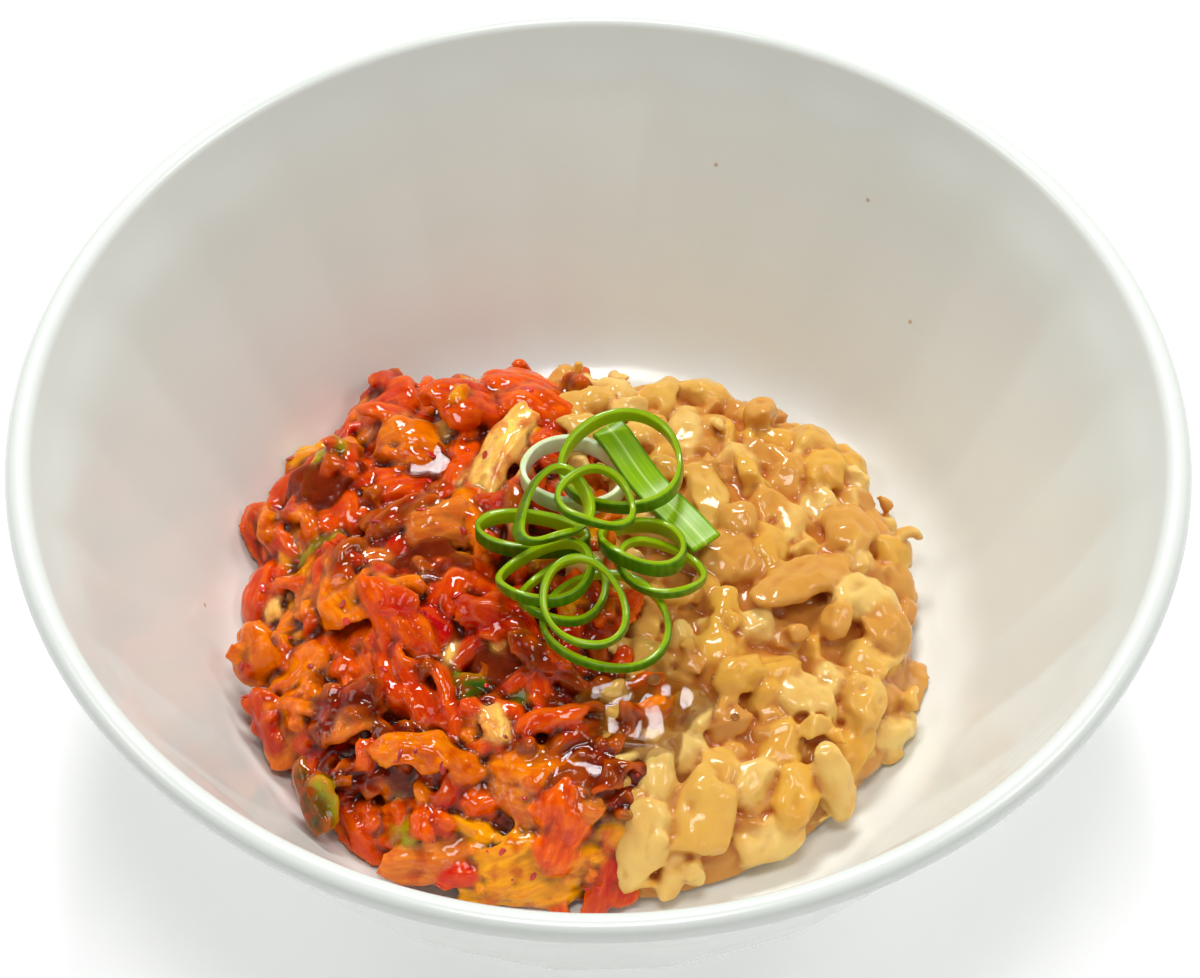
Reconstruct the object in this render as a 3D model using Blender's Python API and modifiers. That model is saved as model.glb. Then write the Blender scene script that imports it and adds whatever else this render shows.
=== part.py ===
"""A white faceted bowl with cut kimchi and chopped natto side by side, and sliced spring onion on top.

The bowl stands on its foot at z = 0 with its axis on +Z. The eater sits at -Y, the kimchi
lies towards -X and the natto towards +X. Every length below is in millimetres, and MM turns
it into Blender's metres where a mesh is made.
"""

import math
import random
from collections import namedtuple

import bmesh
import bpy
from mathutils import Matrix, Vector
from mathutils.bvhtree import BVHTree

MM = 0.001
GAP = 0.3

# Bowl
RIM_RADIUS = 75.0
BOWL_HEIGHT = 55.0
LIP_RADIUS = 1.8
LIP_START = math.radians(200)
LIP_END = math.radians(-30)
LIP_STEPS = 6
FLOOR_Z = 7.5
BASE_Z = 3.2
RECESS_Z = 2.8
WALL = 3.6
WALL_TOP_RADIUS = RIM_RADIUS - 0.4
WALL_SLOPE = 0.345
WALL_CURVE = 0.0027
WALL_START_DEPTH = 6.0
FLOOR_BLEND_DEPTH = 39.5
FLOOR_BLEND_WIDTH = 14.0
BASE_BLEND_DEPTH = 45.0
BASE_BLEND_WIDTH = 11.0
FOOT_OUTER = 33.0
FOOT_INNER = 28.0
FOOT_EDGE = 0.6
FACETS = 24
STEPS_PER_FACET = 2
FACET_TURN = math.radians(9.2)
FACET_FADE = 6.0

# Heaps: side of the split, half length, half width, squareness of the outline, height
Heap = namedtuple("Heap", "side reach_x reach_y squareness height")
KIMCHI = Heap(-1, 46.5, 44.0, 2.4, 15.5)
NATTO = Heap(1, 46.0, 44.0, 2.5, 15.0)
HEAP_CENTRE = (-2.0, 0.5)
HEAP_STEEPNESS = 0.5
HEAP_EDGE = 1.8
HEAP_RINGS = 16
HEAP_SECTORS = 28
SPLIT_SLOPE = 0.12
SPLIT_CLEAR = 2.5
OVERHANG = 1.08
SPREAD = 0.4
PIECE_MOVES = 16
PIECE_STEP = 0.035
SHORTEST_EDGE = 0.01

# Cut cabbage
CABBAGE_COUNT = 70
CABBAGE_LIFT = (-0.6, 1.0)
CABBAGE_TILT = 26
CABBAGE_LENGTH = (10.0, 17.0)
CABBAGE_WIDTH = (5.5, 9.0)
LEAF_THICKNESS = 1.5
LEAF_CURL = 0.9
LEAF_WAVE = (0.5, 1.1)
STEM_THICKNESS = 3.4
STEM_SHARE = 0.45

# Chopped beans
BEAN_COUNT = 154
BEAN_LIFT = (-0.5, 0.9)
BEAN_TILT = 30
BEAN_LENGTH = (6.4, 9.2)
BEAN_WIDTH = (4.4, 5.8)
BEAN_FLATNESS = (0.65, 0.95)
BEAN_UNEVENNESS = 0.12

# Spring onion: name, diameter, slice width, share of roundness, x, y, turn, tilt about X and about Y
ONION_WALL = 1.0
ONION_STEPS = 24
ONION_WOBBLE = (0.02, 0.05)
ONION_RINGS = (
    ("onion_ring_wide_pale", 17.4, 1.5, 0.85, 0.9, -15.6, 10, 0, 0),
    ("onion_ring_white", 14.4, 2.8, 0.80, -3.6, 8.2, 10, -4, 0),
    ("onion_ring_flattened", 15.6, 2.6, 0.32, -8.6, 0.0, -4, 0, 0),
    ("onion_ring_low_left", 12.6, 1.6, 0.88, -4.8, -11.1, 35, 0, 0),
    ("onion_ring_low_right", 12.2, 1.6, 0.94, 8.4, -8.0, -20, 6, 0),
    ("onion_ring_left", 13.2, 2.0, 0.86, -7.1, -8.3, 15, 0, -5),
    ("onion_ring_broad", 12.0, 2.8, 0.92, 5.9, -3.3, 0, 0, -3),
    ("onion_ring_large", 17.4, 2.6, 0.92, 3.3, 9.9, 30, 8, -6),
    ("onion_ring_tall", 13.4, 2.2, 0.84, -6.0, 2.1, 80, 12, 30),
    ("onion_ring_small", 10.9, 1.7, 0.96, -0.3, 4.2, 0, 12, 4),
    ("onion_ring_front", 12.6, 2.0, 0.92, -1.8, -12.9, 70, 22, -6),
)
STRIP = ("onion_leaf_strip", 7.7, 6.0)
STRIP_BEFORE = "onion_ring_broad"
STRIP_LENGTH = 22.0
STRIP_WIDTH = 4.2
STRIP_THICKNESS = 0.9
STRIP_TURN = -53.0
SIGHT_HEIGHT = 34.0
SIGHT_LEAN = 0.78
SLICE_STIFFNESS = 0.045
DROP_STEP = 0.15

GOLDEN_ANGLE = math.pi * (3 - math.sqrt(5))


def clear_scene():
    for old in list(bpy.data.objects):
        bpy.data.objects.remove(old)


def new_collection(name):
    made = bpy.data.collections.new(name)
    bpy.context.scene.collection.children.link(made)
    return made


def finish_material(name, colour, roughness):
    made = bpy.data.materials.new(name)
    made.use_nodes = True
    shader = made.node_tree.nodes["Principled BSDF"]
    shader.inputs["Base Color"].default_value = (*colour, 1)
    shader.inputs["Roughness"].default_value = roughness
    return made


def add_object(name, mesh, collection, material=None):
    made = bpy.data.objects.new(name, mesh)
    collection.objects.link(made)
    if material:
        mesh.materials.append(material)
    return made


def evaluated_mesh(source):
    """The mesh of an object with its modifiers applied."""
    bpy.context.view_layer.update()
    graph = bpy.context.evaluated_depsgraph_get()
    return bpy.data.meshes.new_from_object(source.evaluated_get(graph))


def mesh_from(bm, name):
    mesh = bpy.data.meshes.new(name)
    bm.to_mesh(mesh)
    bm.free()
    return mesh


def with_thickness(bm, wall):
    """A closed shell of a wall's thickness, centred on an open surface."""
    sheet = add_object("sheet", mesh_from(bm, "sheet"), bpy.context.scene.collection)
    shell = sheet.modifiers.new("wall", "SOLIDIFY")
    shell.thickness = wall * MM
    shell.offset = 0
    mesh = evaluated_mesh(sheet)
    bpy.data.objects.remove(sheet)
    return mesh


def smoothstep(low, high, value):
    t = min(1.0, max(0.0, (value - low) / (high - low)))
    return t * t * (3 - 2 * t)


def outer_wall(depth):
    """Outer radius of the wall at a depth below the rim."""
    return WALL_TOP_RADIUS - WALL_SLOPE * depth - WALL_CURVE * depth**2


def inner_wall(depth):
    return outer_wall(depth) - WALL


def wall_slope(depth):
    return WALL_SLOPE + 2 * WALL_CURVE * depth


def blend_curve(flat_radius, flat_z, wall_radius, depth, steps):
    """A quadratic curve from a flat ring up into the wall, tangent to both."""
    wall_z = BOWL_HEIGHT - depth
    corner = wall_radius - wall_slope(depth) * (wall_z - flat_z)
    points = []
    for i in range(steps + 1):
        t = i / steps
        radius = (1 - t) ** 2 * flat_radius + 2 * t * (1 - t) * corner + t * t * wall_radius
        points.append((radius, (1 - t * t) * flat_z + t * t * wall_z))
    return points


def inner_profile():
    """Radius and height of the bowl's inside, from the axis up to the lip."""
    wall_radius = inner_wall(FLOOR_BLEND_DEPTH)
    flat_radius = wall_radius - FLOOR_BLEND_WIDTH
    points = [(0.0, FLOOR_Z), (20.0, FLOOR_Z)]
    points += blend_curve(flat_radius, FLOOR_Z, wall_radius, FLOOR_BLEND_DEPTH, 5)
    for depth in (30.0, 20.0, 10.0, WALL_START_DEPTH):
        points.append((inner_wall(depth), BOWL_HEIGHT - depth))
    return points


def lip_arc():
    """Round lip, from its inner side over the top to its outer side."""
    centre = (RIM_RADIUS - LIP_RADIUS, BOWL_HEIGHT - LIP_RADIUS)
    points = []
    for i in range(LIP_STEPS + 1):
        angle = LIP_START + (LIP_END - LIP_START) * i / LIP_STEPS
        points.append((centre[0] + LIP_RADIUS * math.cos(angle), centre[1] + LIP_RADIUS * math.sin(angle)))
    return points


def outer_profile():
    """Radius and height of the outside, from under the lip down and in to the axis."""
    wall_radius = outer_wall(BASE_BLEND_DEPTH)
    points = []
    for depth in (WALL_START_DEPTH, 10.0, 20.0, 33.0):
        points.append((outer_wall(depth), BOWL_HEIGHT - depth))
    flat_radius = wall_radius - BASE_BLEND_WIDTH
    points += reversed(blend_curve(flat_radius, BASE_Z, wall_radius, BASE_BLEND_DEPTH, 4))
    points += [(FOOT_OUTER, BASE_Z), (FOOT_OUTER - FOOT_EDGE, FOOT_EDGE / 2)]
    points += [(FOOT_OUTER - 2 * FOOT_EDGE, 0.0), (FOOT_INNER + 2 * FOOT_EDGE, 0.0)]
    points += [(FOOT_INNER + FOOT_EDGE, FOOT_EDGE / 2), (FOOT_INNER, RECESS_Z), (0.0, RECESS_Z)]
    return points


def facet_share(z, inside):
    """How flat the wall's panels are at a height: 0 at the lip and floor, 1 on the wall."""
    low = FLOOR_Z + 1.0 if inside else BASE_Z + 1.0
    foot = smoothstep(low, low + FACET_FADE, z)
    return foot * (1 - smoothstep(BOWL_HEIGHT - 3.0 - FACET_FADE, BOWL_HEIGHT - 3.0, z))


def press_facets(mesh):
    """Flattens the round wall into panels whose edges stay on the turned surface."""
    half = math.pi / FACETS
    for vertex in mesh.vertices:
        x, y, z = (c / MM for c in vertex.co)
        radius = math.hypot(x, y)
        if radius < 1:
            continue
        offset = math.atan2(y, x) % (2 * half) - half
        flat = math.cos(half) / math.cos(offset)
        inside = radius < outer_wall(BOWL_HEIGHT - z) - WALL / 2
        share = facet_share(z, inside)
        scale = 1 - share * (1 - flat)
        vertex.co.x *= scale
        vertex.co.y *= scale


def make_bowl(collection):
    """The profile turned by a Screw, its wall pressed into flat panels."""
    profile = inner_profile() + lip_arc() + outer_profile()
    bm = bmesh.new()
    ring = [bm.verts.new((radius * MM, 0, z * MM)) for radius, z in profile]
    for a, b in zip(ring, ring[1:]):
        bm.edges.new((a, b))
    guide = add_object("bowl_profile", mesh_from(bm, "bowl_profile"), collection)
    screw = guide.modifiers.new("turn", "SCREW")
    screw.steps = FACETS * STEPS_PER_FACET
    screw.render_steps = screw.steps
    screw.use_merge_vertices = True
    screw.merge_threshold = 0.00001
    mesh = evaluated_mesh(guide)
    bpy.data.objects.remove(guide)
    press_facets(mesh)
    mesh.transform(Matrix.Rotation(FACET_TURN, 4, "Z"))
    mesh.shade_smooth()
    mesh.set_sharp_from_angle(angle=math.radians(40))
    return add_object("bowl", mesh, collection, finish_material("white_melamine", (0.86, 0.86, 0.84), 0.22))


def floor_height(radius):
    """Height of the bowl's inside at a radius. Panels come in to cos(pi / FACETS) of the turned wall."""
    radius = radius / math.cos(math.pi / FACETS)
    points = inner_profile()
    for (r0, z0), (r1, z1) in zip(points, points[1:]):
        if radius <= r1:
            return z0 + (z1 - z0) * max(0.0, radius - r0) / (r1 - r0)
    return BOWL_HEIGHT


def side_of_split(x, y):
    """Distance from the line where the two foods meet, positive on the natto's side."""
    return (x + SPLIT_SLOPE * y) / math.hypot(1, SPLIT_SLOPE)


def heap_radius(heap, angle):
    """Reach of a heap's oval, slightly uneven outline at an angle about its centre."""
    n = heap.squareness
    across = abs(math.cos(angle) / heap.reach_x) ** n + abs(math.sin(angle) / heap.reach_y) ** n
    return across ** (-1 / n) * (1 + 0.02 * math.sin(3 * angle + 0.7) + 0.015 * math.sin(5 * angle + 2.1))


def outline_share(heap, x, y):
    """Distance from a heap's centre as a share of its outline: 1 on the outline."""
    dx, dy = x - HEAP_CENTRE[0], y - HEAP_CENTRE[1]
    return math.hypot(dx, dy) / heap_radius(heap, math.atan2(dy, dx))


def heap_top(heap, x, y):
    """Height of a heap's bare core above a point."""
    share = min(1.0, outline_share(heap, x, y))
    dome = heap.height * (1 - share * share) ** HEAP_STEEPNESS
    lumps = 0.7 * math.sin(0.23 * x + 1.0) * math.cos(0.21 * y) * (1 - share**4)
    return FLOOR_Z + GAP + HEAP_EDGE + dome + lumps


def make_core(heap):
    """A dome that fits the bowl's floor, cut off along the line between the foods."""
    bm = bmesh.new()
    bmesh.ops.create_uvsphere(bm, u_segments=HEAP_SECTORS, v_segments=HEAP_RINGS, radius=1.0)
    for vertex in bm.verts:
        span = min(1.0, math.hypot(vertex.co.x, vertex.co.y))
        angle = math.atan2(vertex.co.y, vertex.co.x)
        reach = span * heap_radius(heap, angle)
        x = HEAP_CENTRE[0] + reach * math.cos(angle)
        y = HEAP_CENTRE[1] + reach * math.sin(angle)
        z = floor_height(math.hypot(x, y)) + GAP
        if vertex.co.z > 1e-6:
            z = max(heap_top(heap, x, y), z + GAP)
        vertex.co = Vector((x, y, z)) * MM
    normal = Vector((1, SPLIT_SLOPE, 0)).normalized() * heap.side
    cut = bmesh.ops.bisect_plane(
        bm,
        geom=bm.verts[:] + bm.edges[:] + bm.faces[:],
        dist=1e-7,
        plane_co=normal * GAP / 2 * MM,
        plane_no=-normal,
        clear_outer=True,
    )
    rim = [item for item in cut["geom_cut"] if isinstance(item, bmesh.types.BMEdge)]
    bmesh.ops.holes_fill(bm, edges=rim)
    bmesh.ops.triangulate(bm, faces=bm.faces)
    bmesh.ops.recalc_face_normals(bm, faces=bm.faces)
    return mesh_from(bm, "core")


def leaf_mesh(rng, length, width, thickness, steps):
    """A wavy piece of leaf or stem: a grid bent and rippled, then given its thickness."""
    bm = bmesh.new()
    bmesh.ops.create_grid(bm, x_segments=steps, y_segments=2, size=0.5)
    bmesh.ops.triangulate(bm, faces=bm.faces)
    curl = rng.uniform(-LEAF_CURL, LEAF_CURL)
    wave = rng.uniform(*LEAF_WAVE) * LEAF_THICKNESS / thickness
    phase = rng.uniform(0, math.tau)
    for vertex in bm.verts:
        u, v = vertex.co.x, vertex.co.y
        taper = 1 - 0.35 * abs(u + 0.1) - 0.1 * math.sin(7 * u + phase)
        bend = curl * (3.5 * u * u + 4 * v * v - 0.8)
        ripple = wave * math.sin(5.5 * u + phase)
        vertex.co = Vector((u * length, v * width * taper, bend + ripple)) * MM
    return with_thickness(bm, thickness)


def cabbage_mesh(rng):
    """A stem piece or a leaf piece, as kimchi is cut."""
    length = rng.uniform(*CABBAGE_LENGTH)
    width = rng.uniform(*CABBAGE_WIDTH)
    if rng.random() < STEM_SHARE:
        return leaf_mesh(rng, length, width * 0.8, STEM_THICKNESS, 3)
    return leaf_mesh(rng, length, width, LEAF_THICKNESS, 4)


def bean_mesh(rng):
    """A piece of chopped bean: a blunt, uneven lozenge of 20 triangles."""
    bm = bmesh.new()
    bmesh.ops.create_uvsphere(bm, u_segments=5, v_segments=3, radius=0.5)
    bmesh.ops.triangulate(bm, faces=bm.faces)
    length = rng.uniform(*BEAN_LENGTH)
    width = rng.uniform(*BEAN_WIDTH)
    height = rng.uniform(*BEAN_FLATNESS) * width
    for vertex in bm.verts:
        uneven = 1 + rng.uniform(-BEAN_UNEVENNESS, BEAN_UNEVENNESS)
        along, across, up = vertex.co.z, vertex.co.x, vertex.co.y
        vertex.co = Vector((along * length, across * width, up * height)) * (uneven * MM)
    return mesh_from(bm, "bean")


def surface_normal(heap, x, y):
    step = 0.8
    slope_x = (heap_top(heap, x + step, y) - heap_top(heap, x - step, y)) / (2 * step)
    slope_y = (heap_top(heap, x, y + step) - heap_top(heap, x, y - step)) / (2 * step)
    return Vector((-slope_x, -slope_y, 1)).normalized()


def fits(points, heap):
    """Whether a piece stays off the bowl and off the other food, and near its heap."""
    for point in points:
        if heap.side * side_of_split(point.x, point.y) < GAP / 2:
            return False
        if point.z < floor_height(math.hypot(point.x, point.y)) + GAP:
            return False
        if outline_share(heap, point.x, point.y) > OVERHANG:
            return False
    return True


def place_piece(mesh, rng, heap, x, y, lift, tilt):
    """Turns a piece to lie on the heap and moves it in until it fits. It returns None where it can't."""
    spin = Matrix.Rotation(rng.uniform(0, math.tau), 4, "Z")
    lean = Matrix.Rotation(math.radians(rng.uniform(-tilt, tilt)), 4, "Y")
    roll = Matrix.Rotation(math.radians(rng.uniform(-tilt, tilt)), 4, "X")
    raised = rng.uniform(*lift)
    for _ in range(PIECE_MOVES):
        normal = surface_normal(heap, x, y)
        facing = Vector((0, 0, 1)).rotation_difference(normal).to_matrix().to_4x4()
        centre = Vector((x, y, heap_top(heap, x, y))) + normal * raised
        place = Matrix.Translation(centre * MM) @ facing @ spin @ lean @ roll
        if fits([(place @ vertex.co) / MM for vertex in mesh.vertices], heap):
            mesh.transform(place)
            return mesh
        x += PIECE_STEP * (HEAP_CENTRE[0] + heap.side * heap.reach_x / 2 - x)
        y += PIECE_STEP * (HEAP_CENTRE[1] - y)
    return None


def scatter(make_mesh, seed, count, heap, lift, tilt):
    """Pieces spread over one food's half of the oval by the golden angle, closer on its steep edge."""
    rng = random.Random(seed)
    placed = []
    for i in range(count):
        angle = i * GOLDEN_ANGLE
        reach = ((i + 0.5) / count) ** SPREAD * heap_radius(heap, angle)
        x = HEAP_CENTRE[0] + reach * math.cos(angle)
        y = HEAP_CENTRE[1] + reach * math.sin(angle)
        inside = heap.side * side_of_split(x, y)
        if inside < -SPLIT_CLEAR / 2:
            continue
        x += heap.side * max(0.0, SPLIT_CLEAR - inside)
        mesh = place_piece(make_mesh(rng), rng, heap, x, y, lift, tilt)
        if mesh:
            placed.append(mesh)
    return placed


def fuse(core, pieces, name, collection, material):
    """The core and its pieces joined by one Boolean union, without loose scraps or sealed hollows."""
    group = new_collection(name + "_pieces")
    for mesh in pieces:
        add_object(name + "_piece", mesh, group)
    heap = add_object(name, core, collection)
    union = heap.modifiers.new("fuse", "BOOLEAN")
    union.operation = "UNION"
    union.operand_type = "COLLECTION"
    union.collection = group
    mesh = evaluated_mesh(heap)
    bpy.data.objects.remove(heap)
    for piece in list(group.objects):
        bpy.data.objects.remove(piece)
    bpy.data.collections.remove(group)
    keep_largest(mesh)
    return add_object(name, mesh, collection, material)


def keep_largest(mesh):
    """Drops every closed shell but the one with the most faces."""
    bm = bmesh.new()
    bm.from_mesh(mesh)
    bmesh.ops.triangulate(bm, faces=bm.faces)
    bmesh.ops.dissolve_degenerate(bm, edges=bm.edges, dist=SHORTEST_EDGE * MM)
    waiting = set(bm.faces)
    shells = []
    while waiting:
        front = [waiting.pop()]
        shell = list(front)
        while front:
            for edge in front.pop().edges:
                for face in edge.link_faces:
                    if face in waiting:
                        waiting.remove(face)
                        front.append(face)
                        shell.append(face)
        shells.append(shell)
    largest = max(shells, key=len)
    for shell in shells:
        if shell is not largest:
            bmesh.ops.delete(bm, geom=shell, context="FACES")
    bm.to_mesh(mesh)
    bm.free()
    mesh.materials.clear()


def ring_mesh(diameter, width, roundness, rng):
    """A slice of hollow onion leaf: a band with an uneven outline, given its wall by Solidify."""
    bm = bmesh.new()
    bmesh.ops.create_cone(bm, cap_ends=False, segments=ONION_STEPS, radius1=0.5, radius2=0.5, depth=1.0)
    wobble = rng.uniform(*ONION_WOBBLE)
    phase = rng.uniform(0, math.tau)
    for vertex in bm.verts:
        angle = math.atan2(vertex.co.y, vertex.co.x)
        radius = (diameter - ONION_WALL) / 2 * (1 + wobble * math.sin(3 * angle + phase))
        vertex.co.x = radius * math.cos(angle) * MM
        vertex.co.y = radius * math.sin(angle) * roundness * MM
        vertex.co.z *= width * MM
    mesh = with_thickness(bm, ONION_WALL)
    stations = [math.atan2(vertex.co.y, vertex.co.x) * diameter / 2 for vertex in mesh.vertices]
    return mesh, stations, math.pi * diameter


def strip_mesh():
    """A flat length of green leaf with a slightly folded midrib."""
    bm = bmesh.new()
    bmesh.ops.create_grid(bm, x_segments=9, y_segments=2, size=0.5)
    for vertex in bm.verts:
        u, v = vertex.co.x, vertex.co.y
        vertex.co = Vector((u * STRIP_LENGTH, v * STRIP_WIDTH, 2.0 * v * v)) * MM
    mesh = with_thickness(bm, STRIP_THICKNESS)
    return mesh, [vertex.co.x / MM for vertex in mesh.vertices], None


def tree_of(mesh, spare=0.0, drop=0.0):
    """A mesh's search tree, with its skin moved out by the spare and the whole let down by the drop."""
    mesh.calc_loop_triangles()
    down = Vector((0, 0, drop))
    points = [vertex.co + (vertex.normal * spare - down) * MM for vertex in mesh.vertices]
    return BVHTree.FromPolygons(points, [tuple(t.vertices) for t in mesh.loop_triangles])


def top_under(point, below):
    """Height of the highest thing straight under or over a point."""
    top = 0.0
    for tree in below:
        hit = tree.ray_cast(Vector((point.x, point.y, RIM_RADIUS * MM)), Vector((0, 0, -1)))[0]
        if hit:
            top = max(top, hit.z / MM)
    return top


def apart(a, b, loop):
    """Distance between two stations along a slice, the short way round where it is a ring."""
    distance = abs(a - b)
    return min(distance, loop - distance) if loop else distance


def settle(mesh, stations, loop, below):
    """Raises each station of a soft slice onto what is under it, bending no more than such a slice can."""
    needs = [top_under(vertex.co, below) + GAP - vertex.co.z / MM for vertex in mesh.vertices]
    for vertex, station in zip(mesh.vertices, stations):
        rises = [n - SLICE_STIFFNESS * apart(station, s, loop) ** 2 for n, s in zip(needs, stations)]
        vertex.co.z += max(rises) * MM
    mesh.update()
    while any(tree_of(mesh, GAP / 2).overlap(other) for other in below):
        mesh.transform(Matrix.Translation((0, 0, DROP_STEP * MM)))
    while not any(tree_of(mesh, GAP / 2, DROP_STEP).overlap(other) for other in below):
        mesh.transform(Matrix.Translation((0, 0, -DROP_STEP * MM)))


def mean_height(mesh):
    return sum(vertex.co.z for vertex in mesh.vertices) / len(mesh.vertices) / MM


def lay_slice(name, slice_parts, x, y, turn, below, collection, material):
    """Lowers one slice onto the food and the slices that are already there.

    Its place is given at SIGHT_HEIGHT. It comes down along the eater's line of sight, so a slice
    that rests lower lies further back.
    """
    flat, stations, loop = slice_parts
    height = SIGHT_HEIGHT
    for _ in range(3):
        mesh = flat.copy()
        back = (SIGHT_HEIGHT - height) * SIGHT_LEAN
        mesh.transform(Matrix.Translation((x * MM, (y + back) * MM, 0)) @ turn)
        settle(mesh, stations, loop, below)
        height = mean_height(mesh)
    mesh.shade_smooth()
    mesh.set_sharp_from_angle(angle=math.radians(50))
    below.append(tree_of(mesh))
    return add_object(name, mesh, collection, material)


def turned(turn, tilt_x, tilt_y):
    """A turn about Z, then a tilt about X and one about Y."""
    spin = Matrix.Rotation(math.radians(turn), 4, "Z")
    nod = Matrix.Rotation(math.radians(tilt_x), 4, "X")
    lean = Matrix.Rotation(math.radians(tilt_y), 4, "Y")
    return lean @ nod @ spin


def make_onion(foods, collection):
    rng = random.Random(11)
    below = [tree_of(food.data) for food in foods]
    green = finish_material("spring_onion_green", (0.17, 0.42, 0.04), 0.35)
    white = finish_material("spring_onion_white", (0.72, 0.76, 0.55), 0.35)
    for name, diameter, width, roundness, x, y, turn, tilt_x, tilt_y in ONION_RINGS:
        if name == STRIP_BEFORE:
            lay_slice(STRIP[0], strip_mesh(), *STRIP[1:], turned(STRIP_TURN, 0, 0), below, collection, green)
        ring = ring_mesh(diameter, width, roundness, rng)
        finish = white if name.endswith("white") else green
        lay_slice(name, ring, x, y, turned(turn, tilt_x, tilt_y), below, collection, finish)


def main():
    clear_scene()
    dish = new_collection("kimchi_and_natto_bowl")
    make_bowl(dish)
    kimchi_red = finish_material("kimchi_red", (0.62, 0.13, 0.02), 0.2)
    natto_cream = finish_material("natto_cream", (0.78, 0.53, 0.26), 0.3)
    cabbage = scatter(cabbage_mesh, 7, CABBAGE_COUNT, KIMCHI, CABBAGE_LIFT, CABBAGE_TILT)
    beans = scatter(bean_mesh, 3, BEAN_COUNT, NATTO, BEAN_LIFT, BEAN_TILT)
    foods = [
        fuse(make_core(KIMCHI), cabbage, "kimchi_heap", dish, kimchi_red),
        fuse(make_core(NATTO), beans, "natto_heap", dish, natto_cream),
    ]
    make_onion(foods, dish)


main()
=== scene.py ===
"""A white panelled melamine bowl with cut kimchi and chopped natto side by side, and sliced spring onion.

The bowl stands on its foot at z = 0 with its axis on +Z. The eater sits at -Y, the kimchi lies
towards -X and the natto towards +X. Lengths are millimetres until a mesh is made, where MM turns
them into Blender's metres.
"""

import math
import random
from collections import namedtuple

import bmesh
import bpy
import numpy as np
from mathutils import Matrix, Vector, noise
from mathutils.bvhtree import BVHTree


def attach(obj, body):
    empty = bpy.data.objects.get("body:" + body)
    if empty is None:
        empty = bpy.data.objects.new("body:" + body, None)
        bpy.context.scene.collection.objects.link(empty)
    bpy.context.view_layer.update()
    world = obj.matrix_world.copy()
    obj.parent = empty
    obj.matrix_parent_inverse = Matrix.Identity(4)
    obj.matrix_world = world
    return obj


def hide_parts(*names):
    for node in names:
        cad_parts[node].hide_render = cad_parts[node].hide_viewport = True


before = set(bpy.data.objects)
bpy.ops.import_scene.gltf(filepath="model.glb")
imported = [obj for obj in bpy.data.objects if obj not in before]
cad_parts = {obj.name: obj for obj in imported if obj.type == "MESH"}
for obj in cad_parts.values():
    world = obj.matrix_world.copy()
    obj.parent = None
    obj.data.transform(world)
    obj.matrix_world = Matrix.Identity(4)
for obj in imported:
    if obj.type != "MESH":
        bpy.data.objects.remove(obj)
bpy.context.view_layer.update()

MM = 0.001

# Camera: the photograph's own frame, in pixels, and the place that its perspective gives
PHOTO_WIDTH = 1200
PHOTO_HEIGHT = 978
FOCAL_PIXELS = 3608.5
CAMERA_PLACE = Vector((0.2, -287.9, 409.5))
CAMERA_PITCH = math.radians(38.025)
SENSOR_WIDTH = 36.0

# Bowl, as the solid: rim, floor, wall and foot
RIM_RADIUS = 75.0
BOWL_HEIGHT = 55.0
LIP_RADIUS = 1.8
LIP_START = math.radians(150)
LIP_END = math.radians(-30)
LIP_STEPS = 16
FLOOR_Z = 7.5
BASE_Z = 3.2
RECESS_Z = 2.8
WALL = 3.6
WALL_TOP_RADIUS = RIM_RADIUS - 0.4
WALL_SLOPE = 0.345
WALL_CURVE = 0.0027
WALL_START_DEPTH = 1.2
OUTSIDE_START_DEPTH = 3.0
FLARE_DEPTH = 14.0
INNER_FLARE = 1.08
OUTER_FLARE = 1.7
WALL_STEPS = 18
FLOOR_BLEND_DEPTH = 39.5
FLOOR_BLEND_WIDTH = 14.0
BASE_BLEND_DEPTH = 45.0
BASE_BLEND_WIDTH = 11.0
FOOT_OUTER = 33.0
FOOT_INNER = 28.0
FOOT_EDGE = 0.6
PANELS = 24
STEPS_PER_PANEL = 14
PANEL_TURN = math.radians(9.2)
PANEL_FADE = 6.0
PANEL_EDGE = math.radians(0.9)

# Specks on the bowl's inside, at their pixels in the photograph
SPECK_PIXELS = ((868, 200), (910, 322), (205, 605), (716, 165))
SPECK_RADIUS = 0.4

# Kimchi: how each kind of cut piece is shaped
Form = namedtuple("Form", "thickness cup bow ruffle crumple pleat")
FORMS = {
    "stem": Form(2.4, 60, 30, 0.2, 0.6, 0.14),
    "leaf": Form(1.0, 110, 60, 1.3, 1.4, 0.16),
    "strip": Form(1.5, 70, 50, 0.4, 0.9, 0.08),
    "arch": Form(1.3, 90, 140, 0.6, 1.0, 0.15),
    "chunk": Form(3.0, 90, 60, 0.4, 1.2, 0.16),
    "bit": Form(1.4, 50, 40, 0.3, 0.5, 0.0),
}
PLEAT_SIZE = 2.2
CUT_STEPS = (27, 19)
PUCKER_SIZES = (4.2, 1.9)
TINTS = {
    "orange": "#D03400",
    "bright": "#E04800",
    "amber": "#DE6A00",
    "yellow": "#E89400",
    "pale": "#F2BC60",
    "tan": "#D06C24",
    "brown": "#863002",
    # deep, a near-black red, serves as painted shade: the pieces underneath, the core in the gaps and many
    # pieces in the shaded zones take it.
    "red": "#B81202",
    "deep": "#640A00",
    "pepper": "#CC000E",
    "olive": "#949008",
    "green": "#3C6A08",
    "dark_green": "#183208",
}

# Where the cabbage lies in shade and under the deepest sauce, at its pixels: reach in millimetres. Pieces
# there take darker tints, painted shade with the sauce
SHADE_AND_SAUCE_ZONES = (
    (560, 690, 10.0),
    (470, 590, 6.5),
    (350, 750, 6.5),
    (600, 770, 8.0),
    (430, 690, 5.0),
    (540, 600, 6.0),
)
SHADE_AND_SAUCE_TINTS = ("deep", "deep", "red", "brown", "deep", "orange")

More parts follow.
